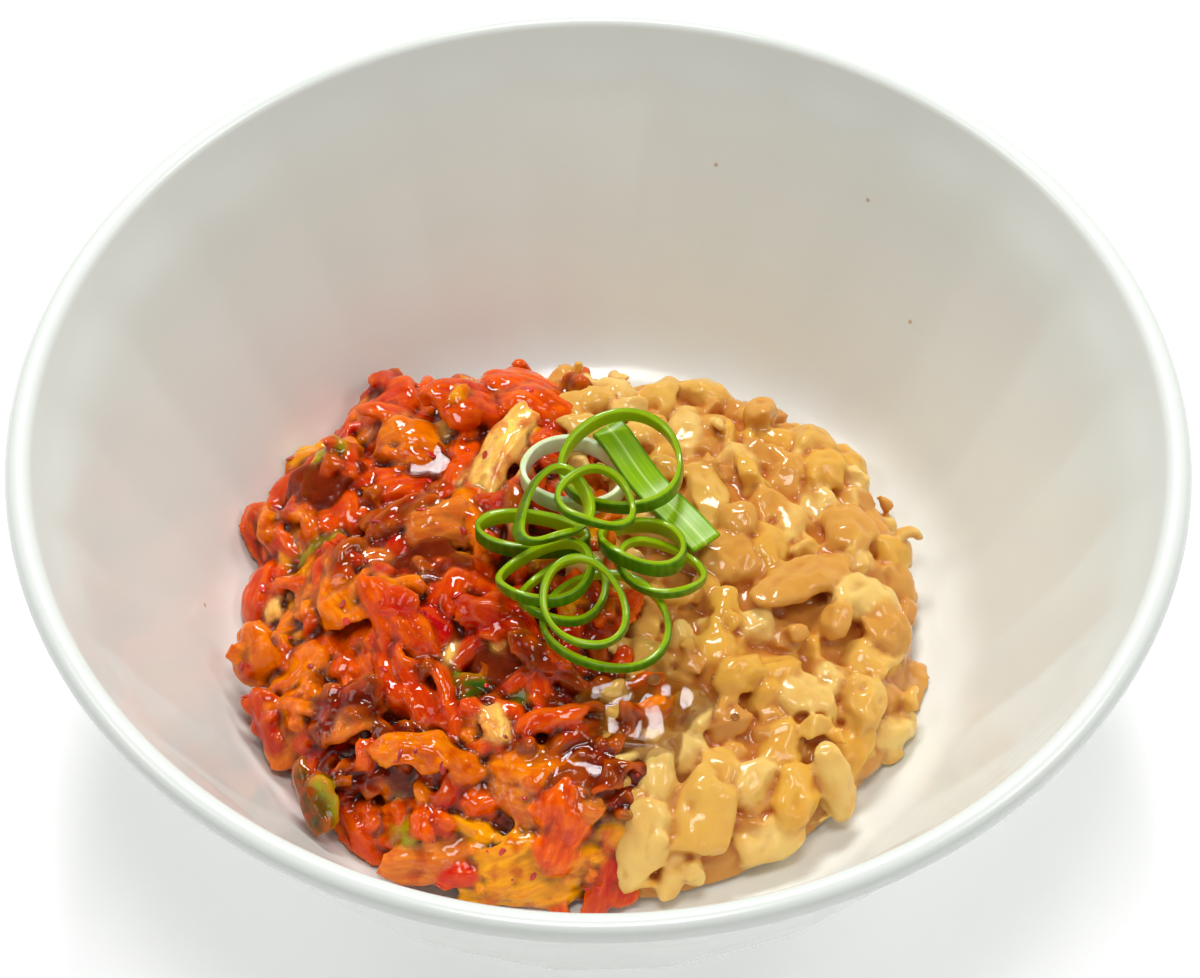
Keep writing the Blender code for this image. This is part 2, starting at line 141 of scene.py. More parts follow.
# Kimchi pieces that stand out, at their pixels in the photograph: size, heading, form and colour
Cut = namedtuple("Cut", "px py length width turn form tint pitch roll raised", defaults=(0, 0, 0.0))
KIMCHI_CUTS = (
    Cut(403, 378, 8, 6, 80, "chunk", "red", 0, 0, 0.8),
    Cut(427, 374, 9, 3, 95, "strip", "pale", -40, 0, 1.2),
    Cut(476, 389, 14, 10, 20, "chunk", "orange", 0, 0, 0.6),
    Cut(532, 384, 14, 11, -30, "chunk", "bright", 0, 0, 0.8),
    Cut(380, 397, 9, 7, 10, "chunk", "orange"),
    Cut(340, 418, 13, 9, 25, "leaf", "bright"),
    Cut(369, 433, 10, 8, 40, "chunk", "amber"),
    Cut(404, 431, 9, 8, 0, "chunk", "amber"),
    Cut(421, 412, 15, 9, 5, "leaf", "red"),
    Cut(450, 435, 16, 6, 28, "stem", "pale", 0, 0, 0.5),
    Cut(455, 456, 9, 8, 80, "chunk", "bright"),
    Cut(495, 452, 18, 5.5, 57, "stem", "pale", 0, 0, 0.7),
    Cut(528, 412, 6, 4, 80, "bit", "pale", 0, 0, 1.0),
    Cut(402, 490, 21, 14, 15, "leaf", "orange", 0, 0, 0.3),
    Cut(274, 487, 12, 9, 30, "chunk", "orange", 0, 0, 0.6),
    Cut(291, 452, 8, 5, -10, "leaf", "yellow", 0, 0, 0.4),
    Cut(314, 457, 9, 6, 10, "leaf", "olive"),
    Cut(348, 467, 9, 8, -20, "chunk", "orange"),
    Cut(335, 533, 15, 11, 60, "leaf", "olive", 0, 0, 0.3),
    Cut(356, 516, 12, 6, 100, "strip", "orange", 0, 0, 0.4),
    Cut(389, 537, 13, 7, 85, "leaf", "red"),
    Cut(448, 523, 15, 7, 8, "arch", "tan", 0, 0, 1.2),
    Cut(283, 563, 19, 7, 110, "leaf", "yellow", 0, 0, 0.8),
    Cut(316, 577, 20, 14, 120, "leaf", "amber"),
    Cut(246, 545, 10, 9, 90, "leaf", "orange"),
    Cut(250, 584, 10, 8, 70, "chunk", "orange"),
    Cut(342, 590, 15, 9, 10, "stem", "tan"),
    Cut(390, 605, 8, 5, -15, "bit", "pepper", 0, 0, 0.6),
    Cut(421, 597, 6, 5, 30, "bit", "pepper", 0, 0, 0.6),
    Cut(425, 622, 8, 8, -20, "bit", "pepper"),
    Cut(396, 626, 17, 6, -58, "stem", "bright", 0, 0, 0.3),
    Cut(500, 614, 12, 7, -20, "leaf", "red", 0, 0, 0.3),
    Cut(465, 572, 12, 9, 75, "leaf", "orange"),
    Cut(450, 600, 10, 8, 60, "stem", "orange"),
    Cut(272, 622, 12, 9, 40, "leaf", "amber"),
    Cut(363, 632, 9, 6, 100, "leaf", "tan"),
    Cut(240, 662, 8, 6, 80, "chunk", "amber", 0, 0, -0.4),
    Cut(279, 680, 14, 5.5, 38, "strip", "amber", 0, 0, 0.6),
    Cut(288, 727, 12, 7, 50, "stem", "amber", 0, 0, 0.5),
    Cut(371, 668, 27, 14, -62, "leaf", "bright", 0, 0, 0.6),
    Cut(408, 692, 22, 8, -60, "leaf", "orange", 0, 0, 0.2),
    Cut(335, 739, 11, 10, 30, "chunk", "pepper", 0, 0, 0.2),
    Cut(381, 761, 11, 11, 10, "leaf", "deep"),
    Cut(335, 706, 11, 8, 20, "leaf", "deep"),
    Cut(359, 713, 10, 3.5, 40, "strip", "tan", 0, 0, 0.5),
    Cut(434, 747, 17, 6, -8, "arch", "amber", 0, 0, 0.3),
    Cut(474, 685, 10, 7, 25, "leaf", "green", 0, 0, 0.6),
    Cut(529, 708, 6, 5, 0, "bit", "green"),
    Cut(552, 713, 9, 3.5, 10, "strip", "orange", 0, 0, 0.5),
    Cut(496, 722, 5, 4, 90, "bit", "pale", 0, 0, 0.8),
    Cut(494, 752, 14, 9, 80, "leaf", "orange", 0, 0, 0.3),
    Cut(491, 803, 20, 12, 60, "leaf", "bright", 0, 0, 0.6),
    Cut(536, 762, 14, 6, -15, "strip", "amber", 0, 0, 0.3),
    Cut(542, 791, 15, 9, -20, "stem", "tan"),
    Cut(553, 868, 27, 12, 22, "leaf", "yellow", 0, 0, 0.6),
    Cut(577, 820, 15, 12, 80, "leaf", "bright", 0, 0, 0.3),
    Cut(600, 715, 17, 7, 42, "leaf", "brown", 0, 0, 0.2),
    Cut(614, 782, 10, 6, 20, "leaf", "red"),
    Cut(627, 804, 9, 3, 80, "bit", "dark_green"),
    Cut(606, 834, 9, 3, 60, "bit", "dark_green"),
    Cut(614, 855, 19, 7, 84, "leaf", "red", 0, 0, 0.2),
    Cut(303, 797, 11, 4, 100, "bit", "dark_green", 0, 0, 0.4),
    Cut(320, 804, 7, 4, 80, "bit", "olive", 0, 0, 0.4),
    Cut(370, 842, 22, 11, -8, "leaf", "bright"),
    Cut(351, 833, 13, 4, -65, "strip", "orange", 0, 0, 0.4),
    Cut(407, 830, 7, 4, 0, "bit", "olive", 0, 0, 0.4),
    Cut(437, 868, 15, 6, 5, "stem", "tan"),
    Cut(456, 877, 6, 4, 0, "bit", "pepper", 0, 0, 0.4),
    Cut(300, 772, 9, 7, 20, "chunk", "orange"),
    Cut(247, 720, 10, 7, 100, "leaf", "red"),
    Cut(314, 656, 10, 7, 10, "stem", "amber", 0, 0, 0.3),
    Cut(263, 624, 9, 8, 30, "chunk", "orange"),
    Cut(568, 690, 12, 8, 30, "leaf", "deep"),
    Cut(588, 748, 12, 9, 30, "leaf", "deep"),
)
KIMCHI_TOP_COUNT = 380
KIMCHI_BIT_COUNT = 420
BIT_LENGTH = (2.2, 4.6)
BIT_WIDTH = (1.6, 3.2)
KIMCHI_UNDER_COUNT = 130
CUT_LENGTH = (5.5, 14.0)
CUT_WIDTH = (2.0, 5.0)
CUT_CLEAR = 0.22
CUT_TILT = 24

# Sauce that stands between the pieces, at its pixels: length, width, heading and the share of them it covers
Pool = namedtuple("Pool", "px py length width turn level")
CHILLI_POOLS = (
    Pool(324, 486, 12, 9, 20, 0.72),
    Pool(430, 460, 8, 7, 30, 0.55),
    Pool(430, 562, 14, 10, 10, 0.74),
    Pool(500, 662, 11, 8, -25, 0.7),
    Pool(585, 765, 12, 9, 30, 0.6),
)
BROWN_POOLS = (Pool(645, 706, 19, 15, 20, 0.62),)
POOL_RINGS = 12
POOL_STEPS = 48
POOL_THICKNESS = 0.5
POOL_SUNK = 0.8
POOL_TILT = 0.25

# Air bubbles on the brown sauce, at their pixels: radius
BUBBLES = (
    (654, 680, 1.0),
    (714, 677, 0.5),
    (703, 694, 0.55),
    (735, 717, 0.6),
    (668, 697, 0.35),
    (629, 676, 0.3),
    (676, 668, 0.35),
    (620, 733, 0.3),
    (694, 712, 0.3),
)
BUBBLE_STEPS = 20
BUBBLE_RINGS = 8
BUBBLE_RISE = 0.55

# Crushed chilli that sticks to the kimchi
FLAKES_PER_SQUARE_METRE = 15000.0
FLAKE_RADIUS = 0.4

# Natto pieces that stand out, at their pixels: length, width, thickness, heading, number of cuts
Bean = namedtuple("Bean", "px py length width height turn cuts pitch roll raised", defaults=(0, 0, 0.2))
NATTO_BEANS = (
    Bean(589, 391, 10, 5, 4, 20, 1),
    Bean(618, 383, 7, 5, 4, 10, 1),
    Bean(659, 383, 11, 6.5, 5, 48, 2),
    Bean(703, 378, 9, 6.5, 5, -10, 1),
    Bean(692, 424, 11, 5.5, 4.5, 82, 1),
    Bean(738, 446, 10, 6, 5, 85, 2),
    Bean(716, 418, 6, 5, 4, 20, 2),
    Bean(779, 428, 7.5, 6.5, 5, 0, 1),
    Bean(763, 402, 7, 5, 4, 80, 2),
    Bean(709, 485, 13, 5.5, 4.5, 100, 1),
    Bean(741, 508, 6, 5, 4.5, 0, 0),
    Bean(769, 498, 8.5, 6, 4, -50, 2),
    Bean(789, 470, 12, 8, 5, -25, 2, 0, 15),
    Bean(794, 513, 9, 4.5, 4, 75, 2),
    Bean(829, 460, 8, 6, 4.5, 70, 2),
    Bean(826, 500, 9, 5.5, 4.5, 80, 1),
    Bean(857, 514, 11, 8, 5, 75, 1),
    Bean(818, 430, 9, 6.5, 4.5, 10, 1),
    Bean(851, 446, 9, 7, 4.5, -30, 2),
    Bean(771, 543, 10, 7.5, 6, 70, 2, 0, 0, 0.6),
    Bean(803, 575, 18, 8, 3.4, 38, 2, 0, -32, 1.6),
    Bean(856, 557, 7.5, 6.5, 5, 0, 2),
    Bean(881, 535, 6.5, 5.5, 4.5, 70, 1),
    Bean(906, 552, 7, 6, 4.5, 0, 1),
    Bean(908, 581, 9, 5.5, 4.5, -25, 1),
    Bean(871, 591, 12, 7, 5, 5, 1),
    Bean(903, 621, 9, 8, 5, 0, 1),
    Bean(719, 639, 12, 6.5, 5.5, 72, 2, 0, 0, 0.5),
    Bean(761, 618, 8, 5, 4.5, 10, 2, 0, 0, 0.5),
    Bean(776, 668, 12, 6, 5, 65, 2, 0, 0, 0.8),
    Bean(742, 667, 8, 5, 4.5, 40, 1),
    Bean(812, 690, 9, 7, 5, -40, 2),
    Bean(888, 661, 11, 9, 6, 10, 2, 0, 0, 0.5),
    Bean(926, 692, 10, 8, 5.5, 60, 1),
    Bean(871, 700, 9, 7, 5, 70, 3),
    Bean(684, 744, 9, 7, 4.5, -35, 3, 0, 0, 0.5),
    Bean(657, 792, 14, 5.5, 5, 85, 1, 0, 0, 0.5),
    Bean(714, 768, 8, 7, 5, 60, 2),
    Bean(706, 820, 17, 8.5, 6, 78, 2, 0, 0, 0.8),
    Bean(767, 843, 12, 7, 5.5, 25, 1, 0, 0, 0.5),
    Bean(846, 786, 12, 5, 4.5, -55, 1),
    Bean(787, 747, 11, 6.5, 5, 60, 1),
    Bean(805, 787, 11, 6.5, 5, 80, 2),
    Bean(643, 850, 13, 7, 5, 80, 1),
    Bean(674, 876, 8, 3.5, 3, 80, 1),
    Bean(757, 778, 9, 6, 4, 30, 2),
    Bean(862, 757, 11, 7, 5, 60, 2),
    Bean(900, 735, 10, 6.5, 5, 60, 2),
    Bean(735, 545, 10, 9, 5, 30, 0, 0, 0, -0.4),
)
NATTO_TOP_COUNT = 310
NATTO_UNDER_COUNT = 170
BEAN_LENGTH = (4.4, 8.0)
BEAN_CLEAR = 0.42
BEAN_TILT = 42
BEAN_LUMP = 0.75
LUMP_SIZES = (2.4, 1.3)
CRUMB_COUNT = 130
CRUMB_LENGTH = (2.4, 4.4)
BEAN_TINTS = ("#E2B256", "#E0AA46", "#D69A46", "#E8C26E")

# Core and film: the surface that sauce or sticky film draws over the pieces
HEAP_CENTRE = (-2.0, 0.5)
HEAP_REACH = 49.0
CORE_SHRINK = (0.95, 0.95, 0.84)
SPLIT_SLOPE = 0.12
SEAM_COUNT = 34
SEAM_ENDS = (-42.0, 42.0)
SEAM_OFFSET = (-2.0, 2.5)
SEAM_INSET = 3.0
WALL_CLEAR = 0.9
FLOOR_CLEAR = 0.4
EDGE_HEIGHT = 1.5
KIMCHI_SEED = 7
NATTO_SEED = 3
NOISE_SEED = 21
GOLDEN_ANGLE = math.pi * (3 - math.sqrt(5))

# A film's voxel, its rounds, how far it fills crevices and rounds crests; then a hollow's reach and depth,
# which place the painted shade in crevices and, on the kimchi, the painted light on crests
KIMCHI_FILM = (0.455, 2, 0.36, 0.22, 17, 0.4)
NATTO_FILM = (0.4, 2, 0.28, 0.1, 13, 0.45)
# Fine relief on the pieces: its stretch along and across their fibres, then its height
KIMCHI_RELIEF = ((0.25, 0.8, 0.6), 0.15)
NATTO_RELIEF = ((0.6, 0.6, 0.6), 0.12)
NATTO_CORE = "#C88A40"

# Spring onion, as the solids: name, diameter, slice width, roundness, x, y, turn, tilt about X and Y
ONION_WALL = 1.0
ONION_THIN = 0.84
ONION_STATIONS = 24
ONION_FINE = 8
ONION_WAVES = 3
ONION_WOBBLE = (0.02, 0.05)
ONION_SEED = 11
ONION_EDGE = 0.32
SECTION_STEPS = 5
SECTION_POINTS = 4 * SECTION_STEPS
ONION_RINGS = (
    ("onion_ring_wide_pale", 17.4, 1.5, 0.85, 0.9, -15.6, 10, 0, 0),
    ("onion_ring_white", 14.4, 2.8, 0.80, -3.6, 8.2, 10, -4, 0),
    ("onion_ring_flattened", 15.6, 2.6, 0.32, -8.6, 0.0, -4, 0, 0),
    ("onion_ring_low_left", 12.6, 1.6, 0.88, -4.8, -11.1, 35, 0, 0),
    ("onion_ring_low_right", 12.2, 1.6, 0.94, 8.4, -8.0, -20, 6, 0),
    ("onion_ring_left", 13.2, 2.0, 0.86, -7.1, -8.3, 15, 0, -5),
    ("onion_ring_broad", 12.0, 2.8, 0.92, 5.9, -3.3, 0, 0, -3),
    ("onion_ring_large", 17.4, 2.6, 0.92, 3.3, 9.9, 30, 8, -6),
    ("onion_ring_tall", 13.4, 2.2, 0.84, -6.0, 2.1, 80, 12, 30),
    ("onion_ring_small", 10.9, 1.7, 0.96, -0.3, 4.2, 0, 12, 4),
    ("onion_ring_front", 12.6, 2.0, 0.92, -1.8, -12.9, 70, 22, -6),
)
STRIP_NAME = "onion_leaf_strip"
STRIP_CENTRE = (7.7, 6.0)
STRIP_TURN = -53.0
STRIP_LENGTH = 22.0
STRIP_WIDTH = 4.7
STRIP_THICKNESS = 0.9
STRIP_STATIONS = 10
STRIP_GRID = (60, 17)
STRIP_FOLD = 0.9

# Input numbers of Blender's Mix node when it mixes colours. On its Map Range node, 1 and 2 are the
# range that comes in, and 3 and 4 the range that goes out.
MIX_SHARE = 0
MIX_A = 6
MIX_B = 7
MIX_RESULT = 2


def linear(hex_text):
    """An sRGB hex colour as Blender's linear RGBA."""
    values = [int(hex_text[i : i + 2], 16) / 255 for i in (1, 3, 5)]
    return tuple(v / 12.92 if v <= 0.04045 else ((v + 0.055) / 1.055) ** 2.4 for v in values) + (1.0,)


def per(size):
    """Texture scale for a feature of a size in millimetres, on Object coordinates."""
    return 1 / (size * MM)


def smoothstep(low, high, value):
    t = min(1.0, max(0.0, (value - low) / (high - low)))
    return t * t * (3 - 2 * t)


# Meshes and objects


def add_object(name, points, faces, material=None):
    """An object at the origin with its place, given in millimetres, in its mesh."""
    mesh = bpy.data.meshes.new(name)
    mesh.from_pydata((np.asarray(points) * MM).tolist(), [], [list(map(int, face)) for face in faces])
    mesh.validate()
    mesh.shade_smooth()
    made = bpy.data.objects.new(name, mesh)
    bpy.context.scene.collection.objects.link(made)
    if material:
        mesh.materials.append(material)
    return made


def evaluated_mesh(source):
    """The mesh of an object with its modifiers applied."""
    bpy.context.view_layer.update()
    graph = bpy.context.evaluated_depsgraph_get()
    return bpy.data.meshes.new_from_object(source.evaluated_get(graph))


def mesh_points(mesh):
    """Vertex places of a mesh in millimetres."""
    flat = np.empty(len(mesh.vertices) * 3)
    mesh.vertices.foreach_get("co", flat)
    return flat.reshape(-1, 3) / MM


def move_points(mesh, points):
    mesh.vertices.foreach_set("co", (points * MM).ravel())
    mesh.update()


def search_tree(points, faces):
    return BVHTree.FromPolygons([tuple(p) for p in points], [tuple(f) for f in faces])


def tree_of(meshes):
    """Search tree of several meshes, in millimetres."""
    shapes = [(mesh_points(mesh), [tuple(face.vertices) for face in mesh.polygons]) for mesh in meshes]
    points, faces = [], []
    for shape_points, shape_faces in shapes:
        faces += [tuple(index + len(points) for index in face) for face in shape_faces]
        points += shape_points.tolist()
    return search_tree(points, faces)


def tree_of_nodes(*names):
    """Search tree of some CAD nodes."""
    return tree_of([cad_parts[name].data for name in names])


def join(shapes):
    """Points, faces and the owner of each face, for several (points, faces) shapes."""
    points, faces, owners = [], [], []
    start = 0
    for owner, (shape_points, shape_faces) in enumerate(shapes):
        points.append(shape_points)
        faces.append(np.asarray(shape_faces) + start)
        owners.append(np.full(len(shape_faces), owner))
        start += len(shape_points)
    return np.concatenate(points), np.concatenate(faces), np.concatenate(owners)


def set_attribute(mesh, name, kind, values):
    """A value for each vertex: a colour, a vector or a number."""
    field = {"FLOAT_COLOR": "color", "FLOAT_VECTOR": "vector", "FLOAT": "value"}[kind]
    made = mesh.attributes.new(name, kind, "POINT")
    made.data.foreach_set(field, np.asarray(values, dtype=np.float32).ravel())


def grid_faces(rows, columns, wrap=False):
    """Quads of a grid of points, row by row. With wrap, the last column joins the first."""
    faces = []
    for row in range(rows - 1):
        for column in range(columns if wrap else columns - 1):
            a = row * columns + column
            b = row * columns + (column + 1) % columns
            faces.append((a, b, b + columns, a + columns))
    return faces


# What the photograph's pixels meet


def photo_ray(px, py):
    """Direction from the camera through a pixel of the photograph."""
    turn = Matrix.Rotation(CAMERA_PITCH, 3, "X")
    return (turn @ Vector((px - PHOTO_WIDTH / 2, PHOTO_HEIGHT / 2 - py, -FOCAL_PIXELS))).normalized()


def seen_at(tree, px, py):
    """The place on a surface that a pixel shows, or the nearest one where the pixel just misses it."""
    ray = photo_ray(px, py)
    hit = tree.ray_cast(CAMERA_PLACE, ray)[0]
    if hit:
        return hit
    beside = [tree.find_nearest(CAMERA_PLACE + ray * reach) for reach in range(420, 560, 2)]
    return min(beside, key=lambda found: found[3])[0]


# Bowl


def outer_wall(depth):
    """Outer radius of the wall at a depth below the rim."""
    return WALL_TOP_RADIUS - WALL_SLOPE * depth - WALL_CURVE * depth**2


def inner_wall(depth):
    return outer_wall(depth) - WALL


def flare(depth, reach):
    """How far the wall turns out towards the lip."""
    return reach * max(0.0, 1 - depth / FLARE_DEPTH) ** 2


def blend_curve(flat_radius, flat_z, wall_radius, depth, steps):
    """A quadratic curve from a flat ring up into the wall, tangent to both."""
    wall_z = BOWL_HEIGHT - depth
    corner = wall_radius - (WALL_SLOPE + 2 * WALL_CURVE * depth) * (wall_z - flat_z)
    points = []
    for i in range(steps + 1):
        t = i / steps
        radius = (1 - t) ** 2 * flat_radius + 2 * t * (1 - t) * corner + t * t * wall_radius
        points.append((radius, (1 - t * t) * flat_z + t * t * wall_z))
    return points


def inner_profile():
    """Radius and height of the bowl's inside, from the axis up to the lip."""
    wall_radius = inner_wall(FLOOR_BLEND_DEPTH)
    flat_radius = wall_radius - FLOOR_BLEND_WIDTH
    points = [(flat_radius * i / 6, FLOOR_Z) for i in range(6)]
    points += blend_curve(flat_radius, FLOOR_Z, wall_radius, FLOOR_BLEND_DEPTH, 14)
    for i in range(1, WALL_STEPS + 1):
        depth = FLOOR_BLEND_DEPTH + (WALL_START_DEPTH - FLOOR_BLEND_DEPTH) * i / WALL_STEPS
        points.append((inner_wall(depth) + flare(depth, INNER_FLARE), BOWL_HEIGHT - depth))
    return points


def lip_arc():
    """Round lip, from its inner side over the top to its outer side."""
    points = []
    for i in range(LIP_STEPS + 1):
        angle = LIP_START + (LIP_END - LIP_START) * i / LIP_STEPS
        radius = RIM_RADIUS - LIP_RADIUS + LIP_RADIUS * math.cos(angle)
        points.append((radius, BOWL_HEIGHT - LIP_RADIUS + LIP_RADIUS * math.sin(angle)))
    return points


def outer_profile():
    """Radius and height of the outside, from under the lip down and in to the axis."""
    wall_radius = outer_wall(BASE_BLEND_DEPTH)
    points = []
    for i in range(WALL_STEPS):
        depth = OUTSIDE_START_DEPTH + (BASE_BLEND_DEPTH - OUTSIDE_START_DEPTH) * i / WALL_STEPS
        points.append((outer_wall(depth) + flare(depth, OUTER_FLARE), BOWL_HEIGHT - depth))
    flat_radius = wall_radius - BASE_BLEND_WIDTH
    points += reversed(blend_curve(flat_radius, BASE_Z, wall_radius, BASE_BLEND_DEPTH, 10))
    points += [(FOOT_OUTER, BASE_Z), (FOOT_OUTER - FOOT_EDGE, FOOT_EDGE / 2)]
    points += [(FOOT_OUTER - 2 * FOOT_EDGE, 0.0), (FOOT_INNER + 2 * FOOT_EDGE, 0.0)]
    points += [(FOOT_INNER + FOOT_EDGE, FOOT_EDGE / 2), (FOOT_INNER, RECESS_Z), (0.0, RECESS_Z)]
    return points


def panel_share(z, inside):
    """How flat the wall's panels are at a height: 0 at the lip and floor, 1 on the wall."""
    low = FLOOR_Z + 1.0 if inside else BASE_Z + 1.0
    top = BOWL_HEIGHT - 3.0
    return smoothstep(low, low + PANEL_FADE, z) * (1 - smoothstep(top - PANEL_FADE, top, z))


def press_panels(mesh):
    """Flattens the round wall into panels whose softly moulded edges stay on the turned surface."""
    half = math.pi / PANELS
    points = mesh_points(mesh)
    for point in points:
        radius = math.hypot(point[0], point[1])
        if radius < 1:
            continue
        offset = abs(math.atan2(point[1], point[0]) % (2 * half) - half)
        offset = half - math.hypot(half - offset, PANEL_EDGE)
        flat = math.cos(half) / math.cos(offset)
        inside = radius < outer_wall(BOWL_HEIGHT - point[2]) - WALL / 2
        point[:2] *= 1 - panel_share(point[2], inside) * (1 - flat)
    move_points(mesh, points)


def make_bowl(material):
    """The profile turned by a Screw, its wall pressed into panels."""
    profile = inner_profile() + lip_arc() + outer_profile()
    guide_mesh = bpy.data.meshes.new("bowl_profile")
    edges = [(i, i + 1) for i in range(len(profile) - 1)]
    guide_mesh.from_pydata([(radius * MM, 0, z * MM) for radius, z in profile], edges, [])
    guide = bpy.data.objects.new("bowl_profile", guide_mesh)
    bpy.context.scene.collection.objects.link(guide)
    screw = guide.modifiers.new("turn", "SCREW")
    screw.steps = PANELS * STEPS_PER_PANEL
    screw.render_steps = screw.steps
    screw.use_merge_vertices = True
    screw.merge_threshold = 0.00001
    mesh = evaluated_mesh(guide)
    bpy.data.objects.remove(guide)
    press_panels(mesh)
    mesh.transform(Matrix.Rotation(PANEL_TURN, 4, "Z"))
    mesh.shade_smooth()
    mesh.set_sharp_from_angle(angle=math.radians(50))
    mesh.materials.append(material)
    bowl = bpy.data.objects.new("bowl_moulded", mesh)
    bpy.context.scene.collection.objects.link(bowl)
    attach(bowl, "root")
    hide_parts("bowl")
    return bowl


# Food: placing pieces on a heap


def height_at(tree, x, y):
    """Height of a heap straight under a point, or of the bowl's floor beside it."""
    hit = tree.ray_cast(Vector((x, y, BOWL_HEIGHT)), Vector((0, 0, -1)))[0]
    return hit.z if hit else FLOOR_Z


def heap_normal(tree, x, y):
    """Direction that a heap faces about a point, taken over more than a piece's size."""
    step = 4.0
    slope_x = (height_at(tree, x + step, y) - height_at(tree, x - step, y)) / (2 * step)
    slope_y = (height_at(tree, x, y + step) - height_at(tree, x, y - step)) / (2 * step)
    return Vector((-slope_x, -slope_y, 1)).normalized()


def lay(points, spot, normal, turn, pitch, roll, raised):
    """Turns a piece to lie on a heap with its highest point just at the heap's surface.

    It returns the piece's points and the frame that they were turned by.
    """
    facing = Vector((0, 0, 1)).rotation_difference(normal).to_matrix()
    spin = Matrix.Rotation(math.radians(turn), 3, "Z")
    nod = Matrix.Rotation(math.radians(pitch), 3, "Y")
    lean = Matrix.Rotation(math.radians(roll), 3, "X")
    turned = np.array(facing @ spin @ nod @ lean)
    laid = points @ turned.T
    proud = (laid @ np.array(normal)).max()
    return laid + np.array(spot) + np.array(normal) * (raised - proud), turned


def within_bowl(points):
    """Keeps a piece above the bowl's floor and inside its wall."""
    radii, heights = np.array(inner_profile()).T
    out = np.hypot(points[:, 0], points[:, 1])
    floor = np.interp(np.minimum(out, inner_wall(FLOOR_BLEND_DEPTH)), radii, heights)
    points[:, 2] = np.maximum(points[:, 2], floor + FLOOR_CLEAR)
    reach = np.interp(points[:, 2], heights, radii) - WALL_CLEAR
    points[:, :2] *= np.minimum(1, reach / np.maximum(out, 0.001))[:, None]
    return points


def scattered_spots(tree, rng, count, taken, clear):
    """Spots on a heap spread by the golden angle, away from the listed pieces."""
    spots = []
    for i in range(count):
        angle = i * GOLDEN_ANGLE
        reach = HEAP_REACH * ((i + 0.5) / count) ** 0.5
        x = HEAP_CENTRE[0] + reach * math.cos(angle) + rng.uniform(-1, 1)
        y = HEAP_CENTRE[1] + reach * math.sin(angle) + rng.uniform(-1, 1)
        hit = tree.ray_cast(Vector((x, y, BOWL_HEIGHT)), Vector((0, 0, -1)))[0]
        if hit is None or hit.z < FLOOR_Z + EDGE_HEIGHT:
            continue
        if any((hit - other).length < clear * size for other, size in taken):
            continue
        spots.append(hit)
    return spots


def seam_spots(tree, rng, side):
    """Spots along the line where the two foods meet, so that their pieces mix there."""
    spots = []
    for i in range(SEAM_COUNT):
        y = SEAM_ENDS[0] + (SEAM_ENDS[1] - SEAM_ENDS[0]) * i / (SEAM_COUNT - 1)
        line = -SPLIT_SLOPE * y
        z = height_at(tree, line + side * SEAM_INSET, y)
        if z > FLOOR_Z + EDGE_HEIGHT:
            spots.append(Vector((line + side * rng.uniform(*SEAM_OFFSET), y, z)))
    return spots


# Kimchi


def closed_slab(middle, thickness):
    """A closed solid of a given thickness about a bent grid of points."""
    rows, columns = middle.shape[:2]
    along = np.gradient(middle, axis=0)
    across = np.gradient(middle, axis=1)
    normal = np.cross(along, across)
    normal /= np.linalg.norm(normal, axis=2, keepdims=True) + 1e-9
    top = (middle + normal * thickness[..., None] / 2).reshape(-1, 3)
    bottom = (middle - normal * thickness[..., None] / 2).reshape(-1, 3)
    count = rows * columns
    upper = grid_faces(rows, columns)
    faces = [tuple(reversed(face)) for face in upper]
    faces = upper + [tuple(index + count for index in face) for face in faces]
    border = [c for c in range(columns)]
    border += [r * columns + columns - 1 for r in range(1, rows)]
    border += [(rows - 1) * columns + c for c in range(columns - 2, -1, -1)]
    border += [r * columns for r in range(rows - 2, 0, -1)]
    for a, b in zip(border, border[1:] + border[:1]):
        faces.append((b, a, a + count, b + count))
    return np.concatenate([top, bottom]), faces


def cut_piece(rng, form, length, width):
    """One cut of cabbage: a sheet bent along and across, ruffled and crumpled, thickest at its middle."""
    shape = FORMS[form]
    cup = math.radians(shape.cup * rng.uniform(0.6, 1.3))
    bow = math.radians(shape.bow * rng.uniform(0.6, 1.3))
    phases = [rng.uniform(0, math.tau) for _ in range(4)]
    rows, columns = CUT_STEPS
    u, v = np.meshgrid(np.linspace(-1, 1, rows), np.linspace(-1, 1, columns), indexing="ij")
    edge = 1 - 0.45 * np.abs(u) ** 3.5 + 0.12 * np.sin(2.7 * u + phases[0]) + 0.06 * np.sin(8 * u + phases[1])
    half = width / 2 * edge
    y = half * np.sin(cup * v / 2) / (cup / 2)
    z = -half * (1 - np.cos(cup * v / 2)) / (cup / 2)
    z = z + shape.ruffle * np.abs(v) ** 1.5 * np.sin(6.5 * u + phases[2] + 1.5 * v)
    z = z + shape.pleat * np.sin(math.tau * y / PLEAT_SIZE + 1.6 * np.sin(2.2 * u + phases[0]) + phases[1])
    radius = length / bow
    ends = 1 - 0.1 * v * v + 0.07 * np.sin(3 * v + phases[3])
    bent = bow * u * ends / 2
    middle = np.stack([(radius + z) * np.sin(bent), y, (radius + z) * np.cos(bent)], axis=2)
    middle[..., 2] -= radius
    seed = Vector((rng.uniform(0, 90), rng.uniform(0, 90), 0))
    for row in middle.reshape(-1, 3):
        broad, fine = (noise.noise_vector(Vector(row) / size + seed) for size in PUCKER_SIZES)
        row += np.array(broad + 0.45 * fine) * shape.crumple
    thickness = shape.thickness * (1 - 0.45 * np.abs(v) ** 2.5) * (1 - 0.25 * np.abs(u) ** 4)
    return closed_slab(middle, thickness)


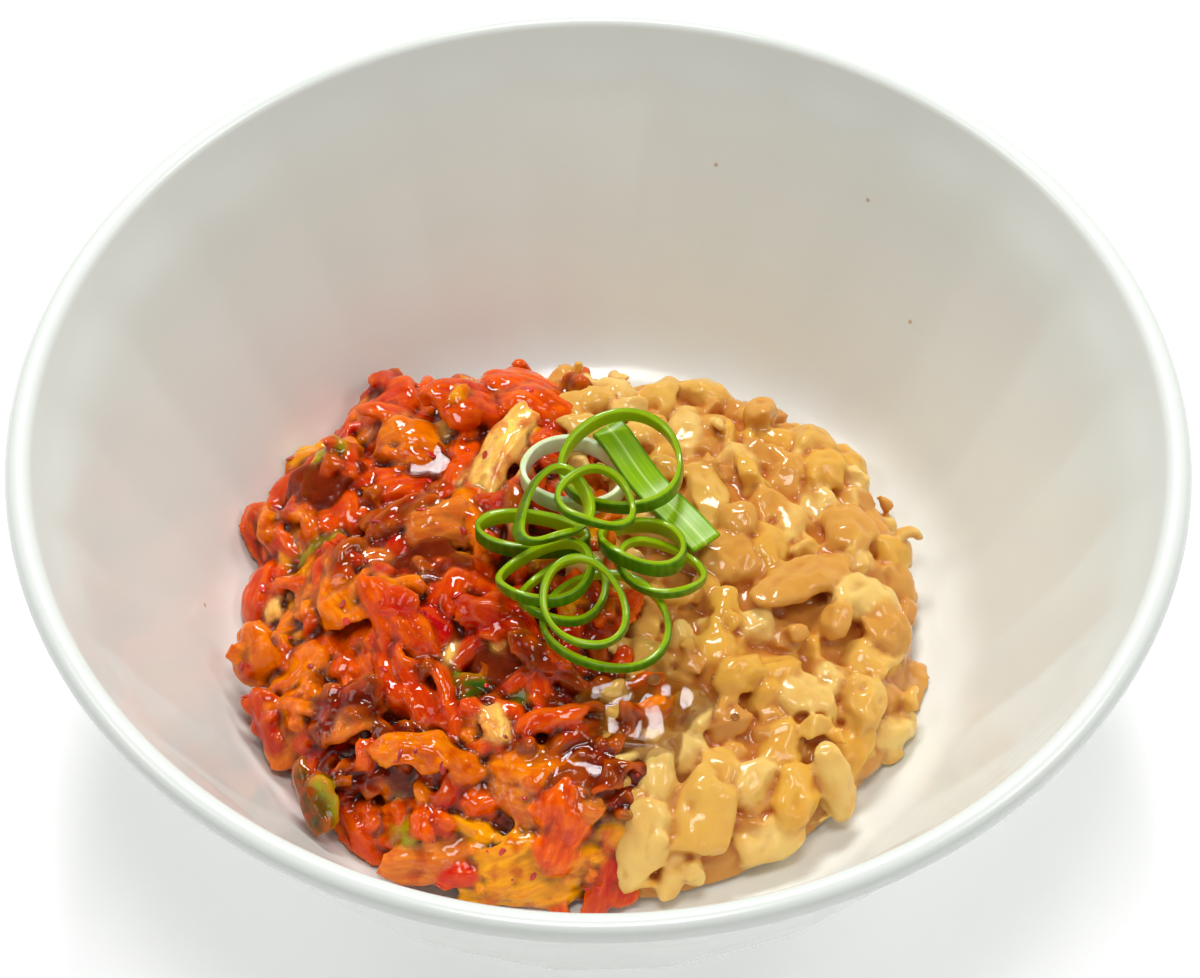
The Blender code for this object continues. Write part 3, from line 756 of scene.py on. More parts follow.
def kimchi_pieces(tree, food_tree):
    """Every cut of the kimchi, with its colour and its own frame, from the bottom up."""
    rng = random.Random(KIMCHI_SEED)
    shapes, tints, frames = [], [], []

    dark = [(seen_at(tree, px, py), reach) for px, py, reach in SHADE_AND_SAUCE_ZONES]

    def place(cut_form, length, width, spot, turn, pitch, roll, raised, tint):
        points, faces = cut_piece(rng, cut_form, length, width)
        laid, turned = lay(points, spot, heap_normal(food_tree, spot.x, spot.y), turn, pitch, roll, raised)
        shapes.append((within_bowl(laid), faces))
        tints.append(linear(TINTS[tint]))
        frames.append((np.array(spot), turned))

    taken = []
    for cut in KIMCHI_CUTS:
        spot = seen_at(tree, cut.px, cut.py)
        taken.append((spot, cut.length))
        place(cut.form, cut.length, cut.width, spot, cut.turn, cut.pitch, cut.roll, cut.raised, cut.tint)
    sizes = (CUT_LENGTH, CUT_WIDTH)
    bits = (BIT_LENGTH, BIT_WIDTH)
    cuts = ("leaf", "leaf", "leaf", "stem", "stem", "strip", "strip", "chunk")
    # The pieces underneath take darker tints: painted shade under the top layer.
    under = ("red", "deep", "orange", "deep", "brown")
    over = ("orange", "red", "orange", "amber", "brown", "bright", "tan", "yellow", "amber")
    crumbs = ("pepper", "red", "amber", "amber", "orange", "yellow", "pale", "brown")
    fill = (
        (KIMCHI_UNDER_COUNT, 0.0, (-3.0, -1.0), sizes, cuts, under),
        (KIMCHI_TOP_COUNT, CUT_CLEAR, (-1.2, 0.2), sizes, cuts, over),
        (KIMCHI_BIT_COUNT, 0.18, (-0.5, 0.5), bits, ("bit", "strip", "leaf"), crumbs),
    )
    for count, clear, raised, (lengths, widths), forms, tint_names in fill:
        spots = scattered_spots(tree, rng, count, taken, clear) + seam_spots(tree, rng, -1)
        for spot in spots:
            form = rng.choice(forms)
            turn = rng.uniform(0, 360)
            tilts = (rng.uniform(-CUT_TILT, CUT_TILT), rng.uniform(-CUT_TILT, CUT_TILT))
            size = (rng.uniform(*lengths), rng.uniform(*widths))
            # Pieces in these zones take darker tints: painted shade, with the sauce there.
            shaded = any((spot - centre).length < reach for centre, reach in dark)
            tint = rng.choice(SHADE_AND_SAUCE_TINTS if shaded else tint_names)
            place(form, *size, spot, turn, *tilts, rng.uniform(*raised), tint)
    return shapes, tints, frames


# Natto


def unit_ball():
    """Points and triangles of a finely divided ball of diameter 1."""
    bpy.ops.mesh.primitive_ico_sphere_add(subdivisions=3, radius=0.5)
    ball = bpy.context.object
    points = mesh_points(ball.data) * MM
    faces = [tuple(face.vertices) for face in ball.data.polygons]
    bpy.data.objects.remove(ball)
    return points, faces


def bean_piece(rng, ball, length, width, height, cuts):
    """One piece of chopped bean: a plump half or quarter with flat cut faces and soft edges."""
    points = np.sign(ball) * np.abs(ball * 2) ** 0.9 / 2
    points = points * np.array((length, width, height))
    for _ in range(cuts):
        angle = rng.uniform(0, math.tau)
        lift = rng.uniform(-0.5, 0.9)
        facing = np.array((math.cos(angle), math.sin(angle), lift))
        facing /= np.linalg.norm(facing)
        reach = (points @ facing).max() * rng.uniform(0.45, 0.8)
        over = np.maximum(0, points @ facing - reach)
        points = points - over[:, None] * facing
    seed = Vector((rng.uniform(0, 90), rng.uniform(0, 90), 0))
    for point in points:
        broad, fine = (noise.noise_vector(Vector(point) / size + seed) for size in LUMP_SIZES)
        point += np.array(broad + 0.5 * fine) * BEAN_LUMP
    return points


def natto_pieces(tree, food_tree):
    """Every piece of the chopped beans, with its colour and its own frame."""
    rng = random.Random(NATTO_SEED)
    ball, ball_faces = unit_ball()
    shapes, tints, frames = [], [], []

    def place(size, cuts, spot, turn, pitch, roll, raised):
        points = bean_piece(rng, ball, *size, cuts)
        laid, turned = lay(points, spot, heap_normal(food_tree, spot.x, spot.y), turn, pitch, roll, raised)
        shapes.append((within_bowl(laid), ball_faces))
        tints.append(linear(rng.choice(BEAN_TINTS)))
        frames.append((np.array(spot), turned))

    taken = []
    for bean in NATTO_BEANS:
        spot = seen_at(tree, bean.px, bean.py)
        taken.append((spot, bean.length))
        size = (bean.length, bean.width, bean.height)
        place(size, bean.cuts, spot, bean.turn, bean.pitch, bean.roll, bean.raised)
    fill = (
        (NATTO_UNDER_COUNT, 0.0, (-3.6, -1.8), BEAN_LENGTH),
        (NATTO_TOP_COUNT, BEAN_CLEAR, (-1.2, 0.6), BEAN_LENGTH),
        (CRUMB_COUNT, 0.3, (-0.8, 0.4), CRUMB_LENGTH),
    )
    for count, clear, raised, lengths in fill:
        spots = scattered_spots(tree, rng, count, taken, clear) + seam_spots(tree, rng, 1)
        for spot in spots:
            length = rng.uniform(*lengths)
            width = length * rng.uniform(0.45, 0.75)
            size = (length, width, width * rng.uniform(0.7, 0.95))
            tilts = (rng.uniform(-BEAN_TILT, BEAN_TILT), rng.uniform(-BEAN_TILT, BEAN_TILT))
            place(size, rng.choice((2, 3, 3, 4)), spot, rng.uniform(0, 360), *tilts, rng.uniform(*raised))
    return shapes, tints, frames


# The film that joins the pieces of a heap


def core_of(name, side):
    """The middle of a heap under its pieces: the heap's own solid, a little smaller."""
    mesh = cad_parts[name].data
    points = mesh_points(mesh)
    centre = np.array((-side * 0.5, 0.0, FLOOR_Z + 0.3))
    faces = [tuple(face.vertices) for face in mesh.polygons]
    return centre + (points - centre) * np.array(CORE_SHRINK), faces


def remeshed(points, faces, voxel):
    """One closed skin round overlapping solids."""
    lump = add_object("lump", points, faces)
    remesh = lump.modifiers.new("film", "REMESH")
    remesh.mode = "VOXEL"
    remesh.voxel_size = voxel * MM
    mesh = evaluated_mesh(lump)
    bpy.data.objects.remove(lump)
    return mesh


def neighbour_mean(values, edges, count):
    """Mean of each vertex's neighbours."""
    degree = np.bincount(edges.ravel(), minlength=count).astype(float)
    total = np.empty_like(values)
    for axis in range(values.shape[1]):
        column = values[:, axis]
        sums = np.bincount(edges[:, 0], weights=column[edges[:, 1]], minlength=count)
        total[:, axis] = sums + np.bincount(edges[:, 1], weights=column[edges[:, 0]], minlength=count)
    return total / np.maximum(degree, 1)[:, None]


def mesh_edges(mesh):
    flat = np.empty(len(mesh.edges) * 2, dtype=np.int64)
    mesh.edges.foreach_get("vertices", flat)
    return flat.reshape(-1, 2)


def mesh_normals(mesh):
    flat = np.empty(len(mesh.vertices) * 3, dtype=np.float32)
    mesh.vertex_normals.foreach_get("vector", flat)
    return flat.reshape(-1, 3)


def drop_loose_bits(mesh):
    """Keeps the one skin that hangs together, without stray bits beside the heap or hollows inside it."""
    edges = mesh_edges(mesh)
    label = np.arange(len(mesh.vertices))
    settled = False
    while not settled:
        before = label.copy()
        low = np.minimum(label[edges[:, 0]], label[edges[:, 1]])
        np.minimum.at(label, edges[:, 0], low)
        np.minimum.at(label, edges[:, 1], low)
        label = label[label]
        settled = (label == before).all()
    largest = np.bincount(label).argmax()
    skin = bmesh.new()
    skin.from_mesh(mesh)
    stray = [vertex for vertex in skin.verts if label[vertex.index] != largest]
    bmesh.ops.delete(skin, geom=stray, context="VERTS")
    skin.to_mesh(mesh)
    skin.free()


def draw_film(mesh, rounds, fill, polish):
    """Lets a film fill the crevices between pieces while their crests stay crisp."""
    edges = mesh_edges(mesh)
    for _ in range(rounds):
        points = mesh_points(mesh)
        pull = neighbour_mean(points, edges, len(points)) - points
        rising = (pull * mesh_normals(mesh)).sum(axis=1) > 0
        move_points(mesh, points + pull * np.where(rising, fill, polish)[:, None])


def hollow_share(mesh, rounds, depth):
    """How deep each point lies in a crevice: 0 on crests and 1 where it is a given depth under them."""
    edges = mesh_edges(mesh)
    points = mesh_points(mesh)
    smooth = points.copy()
    for _ in range(rounds):
        smooth += 0.6 * (neighbour_mean(smooth, edges, len(smooth)) - smooth)
    below = ((smooth - points) * mesh_normals(mesh)).sum(axis=1)
    return below / depth


def paint_heap(mesh, points, faces, owners, tints, frames, blur):
    """Gives each point of the film its nearest piece's colour, and its place along that piece's fibres."""
    tree = search_tree(points, faces)
    skin = mesh_points(mesh)
    nearest = np.array([owners[tree.find_nearest(Vector(point))[2]] for point in skin])
    colours = np.array(tints)[nearest]
    edges = mesh_edges(mesh)
    for _ in range(blur):
        colours = 0.5 * colours + 0.5 * neighbour_mean(colours, edges, len(colours))
    centres = np.array([centre for centre, _ in frames])[nearest]
    turns = np.array([turned for _, turned in frames])[nearest]
    grain = np.einsum("nji,nj->ni", turns, skin - centres) + nearest[:, None] * 3.7
    set_attribute(mesh, "tint", "FLOAT_COLOR", colours)
    set_attribute(mesh, "grain", "FLOAT_VECTOR", grain)
    return grain


def roughen(mesh, grain, relief):
    """Raises fine relief along each piece's fibres: its stretch along and across them, and its height."""
    stretch, height = relief
    points = mesh_points(mesh)
    normals = mesh_normals(mesh)
    lift = [noise.noise(Vector(place)) for place in grain * stretch]
    move_points(mesh, points + normals * np.array(lift)[:, None] * height)


def make_heap(name, node_name, side, pieces, core_tint, film, relief, material):
    """One food: its pieces over its core under one film."""
    shapes, tints, frames = pieces
    shapes.append(core_of(node_name, side))
    tints.append(linear(core_tint))
    frames.append((np.zeros(3), np.identity(3)))
    triangles = []
    for shape_points, shape_faces in shapes:
        split = []
        for face in shape_faces:
            split += [(face[0], face[i], face[i + 1]) for i in range(1, len(face) - 1)]
        triangles.append((shape_points, split))
    points, faces, owners = join(triangles)
    voxel, rounds, fill, polish, hollow_reach, hollow_depth = film
    mesh = remeshed(points, faces, voxel)
    drop_loose_bits(mesh)
    draw_film(mesh, rounds, fill, polish)
    grain = paint_heap(mesh, points, faces, owners, tints, frames, 4)
    roughen(mesh, grain, relief)
    set_attribute(mesh, "hollow", "FLOAT", hollow_share(mesh, hollow_reach, hollow_depth))
    mesh.shade_smooth()
    mesh.materials.append(material)
    heap = bpy.data.objects.new(name, mesh)
    bpy.context.scene.collection.objects.link(heap)
    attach(heap, "root")
    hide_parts(node_name)
    return heap


# Sauce, bubbles and chilli flakes


def pool_shape(ground, pool):
    """One pool: level, so that the higher pieces stand out of it, with an edge that sinks in among them."""
    centre = seen_at(ground, pool.px, pool.py)
    spin = Matrix.Rotation(math.radians(pool.turn), 3, "Z")
    places, beds, shares = [], [], []
    for ring in range(POOL_RINGS):
        share = (ring + 0.5) / (POOL_RINGS - 0.5)
        for step in range(POOL_STEPS):
            angle = math.tau * step / POOL_STEPS
            uneven = 1 + 0.16 * math.sin(3 * angle + pool.turn) + 0.09 * math.sin(5 * angle + 2 * pool.turn)
            flat = spin @ Vector((pool.length / 2 * math.cos(angle), pool.width / 2 * math.sin(angle), 0))
            place = centre + flat * share * uneven
            places.append((place.x, place.y))
            beds.append(height_at(ground, place.x, place.y))
            shares.append(share)
    places, beds, shares = np.array(places), np.array(beds), np.array(shares)
    slope = np.polyfit(places[:, 0] - centre.x, beds, 1)[0], np.polyfit(places[:, 1] - centre.y, beds, 1)[0]
    tilt = POOL_TILT * (slope[0] * (places[:, 0] - centre.x) + slope[1] * (places[:, 1] - centre.y))
    inner = shares < 0.7
    level = np.quantile((beds - tilt)[inner], pool.level) + tilt
    sink = np.array([smoothstep(0.7, 1.0, share) for share in shares])
    height = level + (np.minimum(level, beds) - POOL_SUNK - level) * sink
    top = np.column_stack([places, height]).reshape(POOL_RINGS, POOL_STEPS, 3)
    return capped_rings(np.concatenate([top, (top - (0, 0, POOL_THICKNESS))[::-1]]))


def capped_rings(rings):
    """A closed skin over a row of rings."""
    count, steps = rings.shape[:2]
    faces = grid_faces(count, steps, wrap=True)
    last = (count - 1) * steps
    for i in range(1, steps - 1):
        faces += [(0, i + 1, i), (last, last + i, last + i + 1)]
    return rings.reshape(-1, 3), faces


def add_loose(name, shapes, material):
    """A piece of the scene alone: it rides with the object and replaces nothing."""
    points, faces = [], []
    for shape_points, shape_faces in shapes:
        faces += [tuple(index + len(points) for index in face) for face in shape_faces]
        points += shape_points.tolist()
    made = add_object(name, points, faces, material)
    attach(made, "root")
    return made


def bubble_shape(ground, px, py, radius):
    """A thin bubble standing on the sauce: a low dome."""
    centre = seen_at(ground, px, py)
    rings = []
    for ring in range(BUBBLE_RINGS):
        lift = math.pi / 2 * (1 - ring / BUBBLE_RINGS)
        for step in range(BUBBLE_STEPS):
            angle = math.tau * step / BUBBLE_STEPS
            out = radius * math.cos(lift) if ring else radius * 0.06
            place = (out * math.cos(angle), out * math.sin(angle), radius * BUBBLE_RISE * math.sin(lift))
            rings.append(np.array(centre) + place)
    return capped_rings(np.array(rings).reshape(BUBBLE_RINGS, BUBBLE_STEPS, 3))


def make_bubbles(ground, material):
    shapes = [bubble_shape(ground, *bubble) for bubble in BUBBLES]
    bubbles = add_loose("sauce_bubbles", shapes, material)
    shares = np.repeat(np.arange(BUBBLE_RINGS) / (BUBBLE_RINGS - 1), BUBBLE_STEPS)
    set_attribute(bubbles.data, "rim", "FLOAT", np.tile(shares, len(BUBBLES)))


def scatter_flakes(heap, material):
    """Crushed chilli stuck to the kimchi wherever it faces up: small flattened grains."""
    tree = bpy.data.node_groups.new("chilli_flakes", "GeometryNodeTree")
    tree.interface.new_socket("Geometry", in_out="INPUT", socket_type="NodeSocketGeometry")
    density = tree.interface.new_socket("Density", in_out="INPUT", socket_type="NodeSocketFloat")
    tree.interface.new_socket("Geometry", in_out="OUTPUT", socket_type="NodeSocketGeometry")
    entry = add_node(tree, "NodeGroupInput")
    normal = add_node(tree, "GeometryNodeInputNormal")
    parts = add_node(tree, "ShaderNodeSeparateXYZ", {"Vector": normal.outputs["Normal"]})
    upward = add_node(
        tree,
        "FunctionNodeCompare",
        {"A": parts.outputs["Z"], "B": 0.2},
        operation="GREATER_THAN",
    )
    spots = add_node(
        tree,
        "GeometryNodeDistributePointsOnFaces",
        {
            "Mesh": entry.outputs["Geometry"],
            "Density": entry.outputs["Density"],
            "Selection": upward.outputs["Result"],
            "Seed": 4,
        },
    )
    grain = add_node(tree, "GeometryNodeMeshIcoSphere", {"Radius": FLAKE_RADIUS * MM, "Subdivisions": 2})
    size = add_node(
        tree,
        "FunctionNodeRandomValue",
        {"Min": (0.4, 0.3, 0.2), "Max": (2.6, 1.8, 0.5), "Seed": 1},
        data_type="FLOAT_VECTOR",
    )
    spin = add_node(
        tree,
        "FunctionNodeRandomValue",
        {"Min": (-0.5, -0.5, 0.0), "Max": (0.5, 0.5, math.tau), "Seed": 2},
        data_type="FLOAT_VECTOR",
    )
    grains = add_node(
        tree,
        "GeometryNodeInstanceOnPoints",
        {
            "Points": spots.outputs["Points"],
            "Instance": grain.outputs["Mesh"],
            "Rotation": spots.outputs["Rotation"],
            "Scale": size.outputs["Value"],
        },
    )
    spun = add_node(
        tree,
        "GeometryNodeRotateInstances",
        {"Instances": grains.outputs["Instances"], "Rotation": spin.outputs["Value"]},
    )
    real = add_node(tree, "GeometryNodeRealizeInstances", {"Geometry": spun.outputs["Instances"]})
    smooth = add_node(tree, "GeometryNodeSetShadeSmooth", {"Geometry": real.outputs["Geometry"]})
    done = add_node(
        tree,
        "GeometryNodeSetMaterial",
        {"Geometry": smooth.outputs["Geometry"], "Material": material},
    )
    add_node(tree, "NodeGroupOutput", {"Geometry": done.outputs["Geometry"]})
    ground = bpy.data.objects.new("flake_ground", heap.data)
    bpy.context.scene.collection.objects.link(ground)
    scatter = ground.modifiers.new("flakes", "NODES")
    scatter.node_group = tree
    scatter[density.identifier] = FLAKES_PER_SQUARE_METRE
    mesh = evaluated_mesh(ground)
    bpy.data.objects.remove(ground)
    flakes = bpy.data.objects.new("chilli_flakes", mesh)
    bpy.context.scene.collection.objects.link(flakes)
    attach(flakes, "root")


# Spring onion


def laid_turn(turn, tilt_x, tilt_y):
    """A turn about Z, then a tilt about X and one about Y."""
    spin = Matrix.Rotation(math.radians(turn), 3, "Z")
    nod = Matrix.Rotation(math.radians(tilt_x), 3, "X")
    lean = Matrix.Rotation(math.radians(tilt_y), 3, "Y")
    return np.array(lean @ nod @ spin)


def ring_line(count, diameter, roundness, wobble, phase):
    """Points and outward directions along a slice's middle line, before it is turned and laid."""
    angles = np.arange(count) * math.tau / count
    radius = (diameter - ONION_WALL) / 2 * (1 + wobble * np.sin(3 * angles + phase))
    points = np.stack([radius * np.cos(angles), radius * np.sin(angles) * roundness], axis=1)
    edge = np.roll(points, -1, axis=0) - points
    edge /= np.linalg.norm(edge, axis=1, keepdims=True)
    tangent = edge + np.roll(edge, 1, axis=0)
    tangent /= np.linalg.norm(tangent, axis=1, keepdims=True)
    return points, np.stack([tangent[:, 1], -tangent[:, 0]], axis=1)


def rise_of_stations(node_name, corners):
    """How far the solid's slice was raised at each station, and how far back it was laid.

    corners holds the four unsettled corners of each station: the two upper ones first.
    """
    solid = mesh_points(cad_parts[node_name].data)
    back = solid[:, 1].min() - corners[:, :, 1].min()
    rises = []
    for station in corners:
        found = []
        for corner, point in enumerate(station):
            near = np.hypot(solid[:, 0] - point[0], solid[:, 1] - point[1] - back) < 0.2
            if near.any():
                height = solid[near, 2].max() if corner < 2 else solid[near, 2].min()
                found.append(height - point[2])
        rises.append(np.mean(found) if found else np.nan)
    rises = np.array(rises)
    known = ~np.isnan(rises)
    rises[~known] = np.interp(np.flatnonzero(~known), np.flatnonzero(known), rises[known])
    return rises, back


def section(wall, width):
    """A rounded rectangle: the cut through a slice. Each point is (outwards, along the leaf)."""
    corner = min(wall, width) * ONION_EDGE
    points = []
    for quarter in range(4):
        centre_out = (wall / 2 - corner) * (1 if quarter in (0, 3) else -1)
        centre_up = (width / 2 - corner) * (1 if quarter in (0, 1) else -1)
        for step in range(SECTION_STEPS):
            angle = (quarter + step / (SECTION_STEPS - 1)) * math.pi / 2
            points.append((centre_out + corner * math.cos(angle), centre_up + corner * math.sin(angle)))
    return points


def make_ring(row, rng, material):
    """One slice of hollow leaf on the line of its solid, with a rounded cut edge."""
    name, diameter, width, roundness, x, y, turn, tilt_x, tilt_y = row
    wobble = rng.uniform(*ONION_WOBBLE)
    phase = rng.uniform(0, math.tau)
    frame_turn = laid_turn(turn, tilt_x, tilt_y)
    line, out = ring_line(ONION_STATIONS, diameter, roundness, wobble, phase)
    corners = []
    for point, normal in zip(line, out):
        outer, inner = point + normal * ONION_WALL / 2, point - normal * ONION_WALL / 2
        corners.append([(*outer, width / 2), (*inner, width / 2), (*outer, -width / 2), (*inner, -width / 2)])
    place = np.array((x, y, 0))
    corners = np.array(corners) @ frame_turn.T + place
    rises, back = rise_of_stations(name, corners)
    count = ONION_STATIONS * ONION_FINE
    waves = np.fft.rfft(rises)
    waves[ONION_WAVES:] = 0
    rise = np.fft.irfft(waves, count) * ONION_FINE
    line, out = ring_line(count, diameter, roundness, wobble, phase)
    points, slices = [], []
    for station in range(count):
        along = station / count * math.pi * diameter
        swell = 1 + 0.12 * math.sin(4 * math.tau * station / count + phase)
        for outward, up in section(ONION_WALL * ONION_THIN * swell, width):
            flat = line[station] + out[station] * outward
            points.append(frame_turn @ np.array((*flat, up)) + place + (0, back, rise[station]))
            slices.append((along, up, 0.5 + outward / (ONION_WALL * ONION_THIN * swell)))
    faces = grid_faces(count, SECTION_POINTS, wrap=True)
    last = (count - 1) * SECTION_POINTS
    for corner in range(SECTION_POINTS):
        beside = (corner + 1) % SECTION_POINTS
        faces.append((last + corner, last + beside, beside, corner))
    ring = add_object(name + "_slice", points, faces, material)
    set_attribute(ring.data, "slice", "FLOAT_VECTOR", slices)
    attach(ring, "root")
    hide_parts(name)


def make_strip(material):
    """The flat length of leaf on the line of its solid, with a folded midrib."""
    frame_turn = laid_turn(STRIP_TURN, 0, 0)
    place = np.array((*STRIP_CENTRE, 0))
    solid = mesh_points(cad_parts[STRIP_NAME].data)
    local = (solid - place) @ frame_turn
    low = local[:, 0].min()
    high = local[:, 0].max()
    shift = (low + high) / 2
    across_shift = (local[:, 1].max() + local[:, 1].min()) / 2
    stations = np.linspace(-0.5, 0.5, STRIP_STATIONS) * STRIP_LENGTH
    heights = []
    for station in stations:
        share = station / STRIP_LENGTH + 0.5
        near = np.abs(local[:, 0] - (low + (high - low) * share)) < 0.8
        middle = near & (np.abs(local[:, 1] - across_shift) < 0.6)
        heights.append(solid[middle, 2].mean())
    rows, lanes = STRIP_GRID
    u, v = np.meshgrid(np.linspace(-0.5, 0.5, rows), np.linspace(-0.5, 0.5, lanes), indexing="ij")
    bend = np.polyval(np.polyfit(stations, heights, 5), u * STRIP_LENGTH)
    fold = STRIP_FOLD * v * v
    middle = np.stack([u * STRIP_LENGTH + shift, v * STRIP_WIDTH + across_shift, np.zeros_like(u)], axis=2)
    middle = middle @ frame_turn.T + place
    middle[..., 2] = bend + fold
    thickness = STRIP_THICKNESS * (1 - 0.35 * np.abs(2 * v) ** 3) * np.ones_like(u)
    points, faces = closed_slab(middle, thickness)
    strip = add_object(STRIP_NAME + "_cut", points, faces, material)
    flat = np.stack([u * STRIP_LENGTH, v * STRIP_WIDTH, np.zeros_like(u)], axis=2).reshape(-1, 3)
    set_attribute(strip.data, "slice", "FLOAT_VECTOR", np.concatenate([flat, flat + (0, 0, 1)]))
    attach(strip, "root")
    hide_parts(STRIP_NAME)


# Materials


def add_node(tree, kind, inputs=None, **settings):
    """Adds a node. settings are its own properties, inputs are values or the outputs that feed it."""
    made = tree.nodes.new(kind)
    for name, value in settings.items():
        setattr(made, name, value)
    for name, value in (inputs or {}).items():
        if isinstance(value, bpy.types.NodeSocket):
            tree.links.new(value, made.inputs[name])
        else:
            made.inputs[name].default_value = value
    return made


def new_material(name):
    """A material with its tree and its Principled shader."""
    made = bpy.data.materials.new(name)
    made.use_nodes = True
    return made, made.node_tree, made.node_tree.nodes["Principled BSDF"]


def set_shader(shader, **values):
    """Sets constant inputs. An underscore in a name stands for a space."""
    for name, value in values.items():
        shader.inputs[name.replace("_", " ")].default_value = value


def melamine(specks):
    """Moulded melamine: hard, dense and white, with a satin gloss that blurs what it mirrors."""
    material, tree, shader = new_material("moulded_white_melamine")
    place = add_node(tree, "ShaderNodeTexCoord").outputs["Object"]
    cloud = add_node(tree, "ShaderNodeTexNoise", {"Vector": place, "Scale": per(28), "Detail": 2.0})
    base = add_node(
        tree,
        "ShaderNodeMix",
        {MIX_SHARE: cloud.outputs["Fac"], MIX_A: linear("#EEF3ED"), MIX_B: linear("#F1F5EF")},
        data_type="RGBA",
    )
    colour = base.outputs[MIX_RESULT]
    for speck in specks:
        gap = add_node(tree, "ShaderNodeVectorMath", {0: place, 1: speck * MM}, operation="DISTANCE")
        radius = SPECK_RADIUS * MM
        inputs = {"Value": gap.outputs["Value"], 1: radius * 0.4, 2: radius, 3: 0.7, 4: 0.0}
        spot = add_node(tree, "ShaderNodeMapRange", inputs)
        stained = add_node(
            tree,
            "ShaderNodeMix",
            {MIX_SHARE: spot.outputs["Result"], MIX_A: colour, MIX_B: linear("#B98A4C")},
            data_type="RGBA",
        )
        colour = stained.outputs[MIX_RESULT]
    tree.links.new(colour, shader.inputs["Base Color"])
    wipe = add_node(tree, "ShaderNodeTexNoise", {"Vector": place, "Scale": per(9), "Detail": 4.0})
    gloss = add_node(tree, "ShaderNodeMapRange", {"Value": wipe.outputs["Fac"], 3: 0.16, 4: 0.26})
    tree.links.new(gloss.outputs["Result"], shader.inputs["Roughness"])
    set_shader(shader, IOR=1.55)
    return material


def wet_cabbage():
    """Fermented cabbage: translucent, fibrous leaf and stem under a thin oily film of chilli sauce."""
    material, tree, shader = new_material("wet_fermented_cabbage")
    place = add_node(tree, "ShaderNodeTexCoord").outputs["Object"]
    tint = add_node(tree, "ShaderNodeAttribute", attribute_name="tint")
    grain = add_node(tree, "ShaderNodeAttribute", attribute_name="grain")
    hollow = add_node(tree, "ShaderNodeAttribute", attribute_name="hollow")
    combed = add_node(
        tree,
        "ShaderNodeMapping",
        {"Vector": grain.outputs["Vector"], "Scale": (0.2, 1.2, 0.7)},
    )
    fibres = add_node(
        tree,
        "ShaderNodeTexNoise",
        {"Vector": combed.outputs["Vector"], "Scale": 1.0, "Detail": 3.0},
    )
    streaked = add_node(
        tree,
        "ShaderNodeMapRange",
        {"Value": fibres.outputs["Fac"], 1: 0.44, 2: 0.66, 3: 0.0, 4: 0.6},
    )
    paler = add_node(
        tree,
        "ShaderNodeHueSaturation",
        {"Color": tint.outputs["Color"], "Hue": 0.518, "Saturation": 1.0, "Value": 1.4},
    )
    light = add_node(
        tree,
        "ShaderNodeMix",
        {MIX_SHARE: streaked.outputs["Result"], MIX_A: tint.outputs["Color"], MIX_B: paler.outputs["Color"]},
        data_type="RGBA",
    )
    drops = add_node(
        tree,
        "ShaderNodeTexNoise",
        {"Vector": place, "Scale": per(3.2), "Detail": 4.0, "Roughness": 0.6},
    )
    sauced = add_node(
        tree,
        "ShaderNodeMapRange",
        {"Value": drops.outputs["Fac"], 1: 0.5, 2: 0.64, 3: 0.0, 4: 0.62},
    )
    coated = add_node(
        tree,
        "ShaderNodeMix",
        {MIX_SHARE: sauced.outputs["Result"], MIX_A: light.outputs[MIX_RESULT], MIX_B: linear("#B62000")},
        data_type="RGBA",
    )
    # Crests take a lighter orange: painted light standing in for light that shines through thin cabbage.
    thin = add_node(
        tree,
        "ShaderNodeMapRange",
        {"Value": hollow.outputs["Fac"], 1: -0.9, 2: -0.1, 3: 0.38, 4: 0.0},
    )
    crest_lit = add_node(
        tree,
        "ShaderNodeMix",
        {MIX_SHARE: thin.outputs["Result"], MIX_A: coated.outputs[MIX_RESULT], MIX_B: linear("#EE7400")},
        data_type="RGBA",
    )
    # Crevices darken to a near-black red: painted shade, with the chilli sauce that pools there.
    crevice_shade = add_node(
        tree,
        "ShaderNodeMapRange",
        {"Value": hollow.outputs["Fac"], 1: 0.0, 2: 0.8, 3: 0.0, 4: 0.97},
    )
    colour = add_node(
        tree,
        "ShaderNodeMix",
        {MIX_SHARE: crevice_shade.outputs["Result"], MIX_A: crest_lit.outputs[MIX_RESULT], MIX_B: linear("#480900")},
        data_type="RGBA",
    )
    tree.links.new(colour.outputs[MIX_RESULT], shader.inputs["Base Color"])
    rough = add_node(tree, "ShaderNodeTexNoise", {"Vector": place, "Scale": per(1.1), "Detail": 2.0})
    crease = add_node(
        tree,
        "ShaderNodeBump",
        {"Height": fibres.outputs["Fac"], "Strength": 0.5, "Distance": 0.3 * MM},
    )
    grains = add_node(
        tree,
        "ShaderNodeBump",
        {
            "Height": rough.outputs["Fac"],
            "Strength": 0.3,
            "Distance": 0.3 * MM,
            "Normal": crease.outputs["Normal"],
        },
    )
    tree.links.new(grains.outputs["Normal"], shader.inputs["Normal"])
    film = add_node(tree, "ShaderNodeTexNoise", {"Vector": place, "Scale": per(1.9), "Detail": 0.0})
    wet = add_node(
        tree,
        "ShaderNodeBump",
        {"Height": film.outputs["Fac"], "Strength": 0.9, "Distance": 0.55 * MM},
    )
    tree.links.new(wet.outputs["Normal"], shader.inputs["Coat Normal"])
    set_shader(shader, Roughness=0.5, IOR=1.36, Coat_Weight=1.0, Coat_Roughness=0.05, Coat_IOR=1.4)
    set_shader(shader, Specular_IOR_Level=0.0, Subsurface_Weight=0.5, Subsurface_Scale=1.8 * MM)
    shader.inputs["Subsurface Radius"].default_value = (1.0, 0.3, 0.05)
    return material


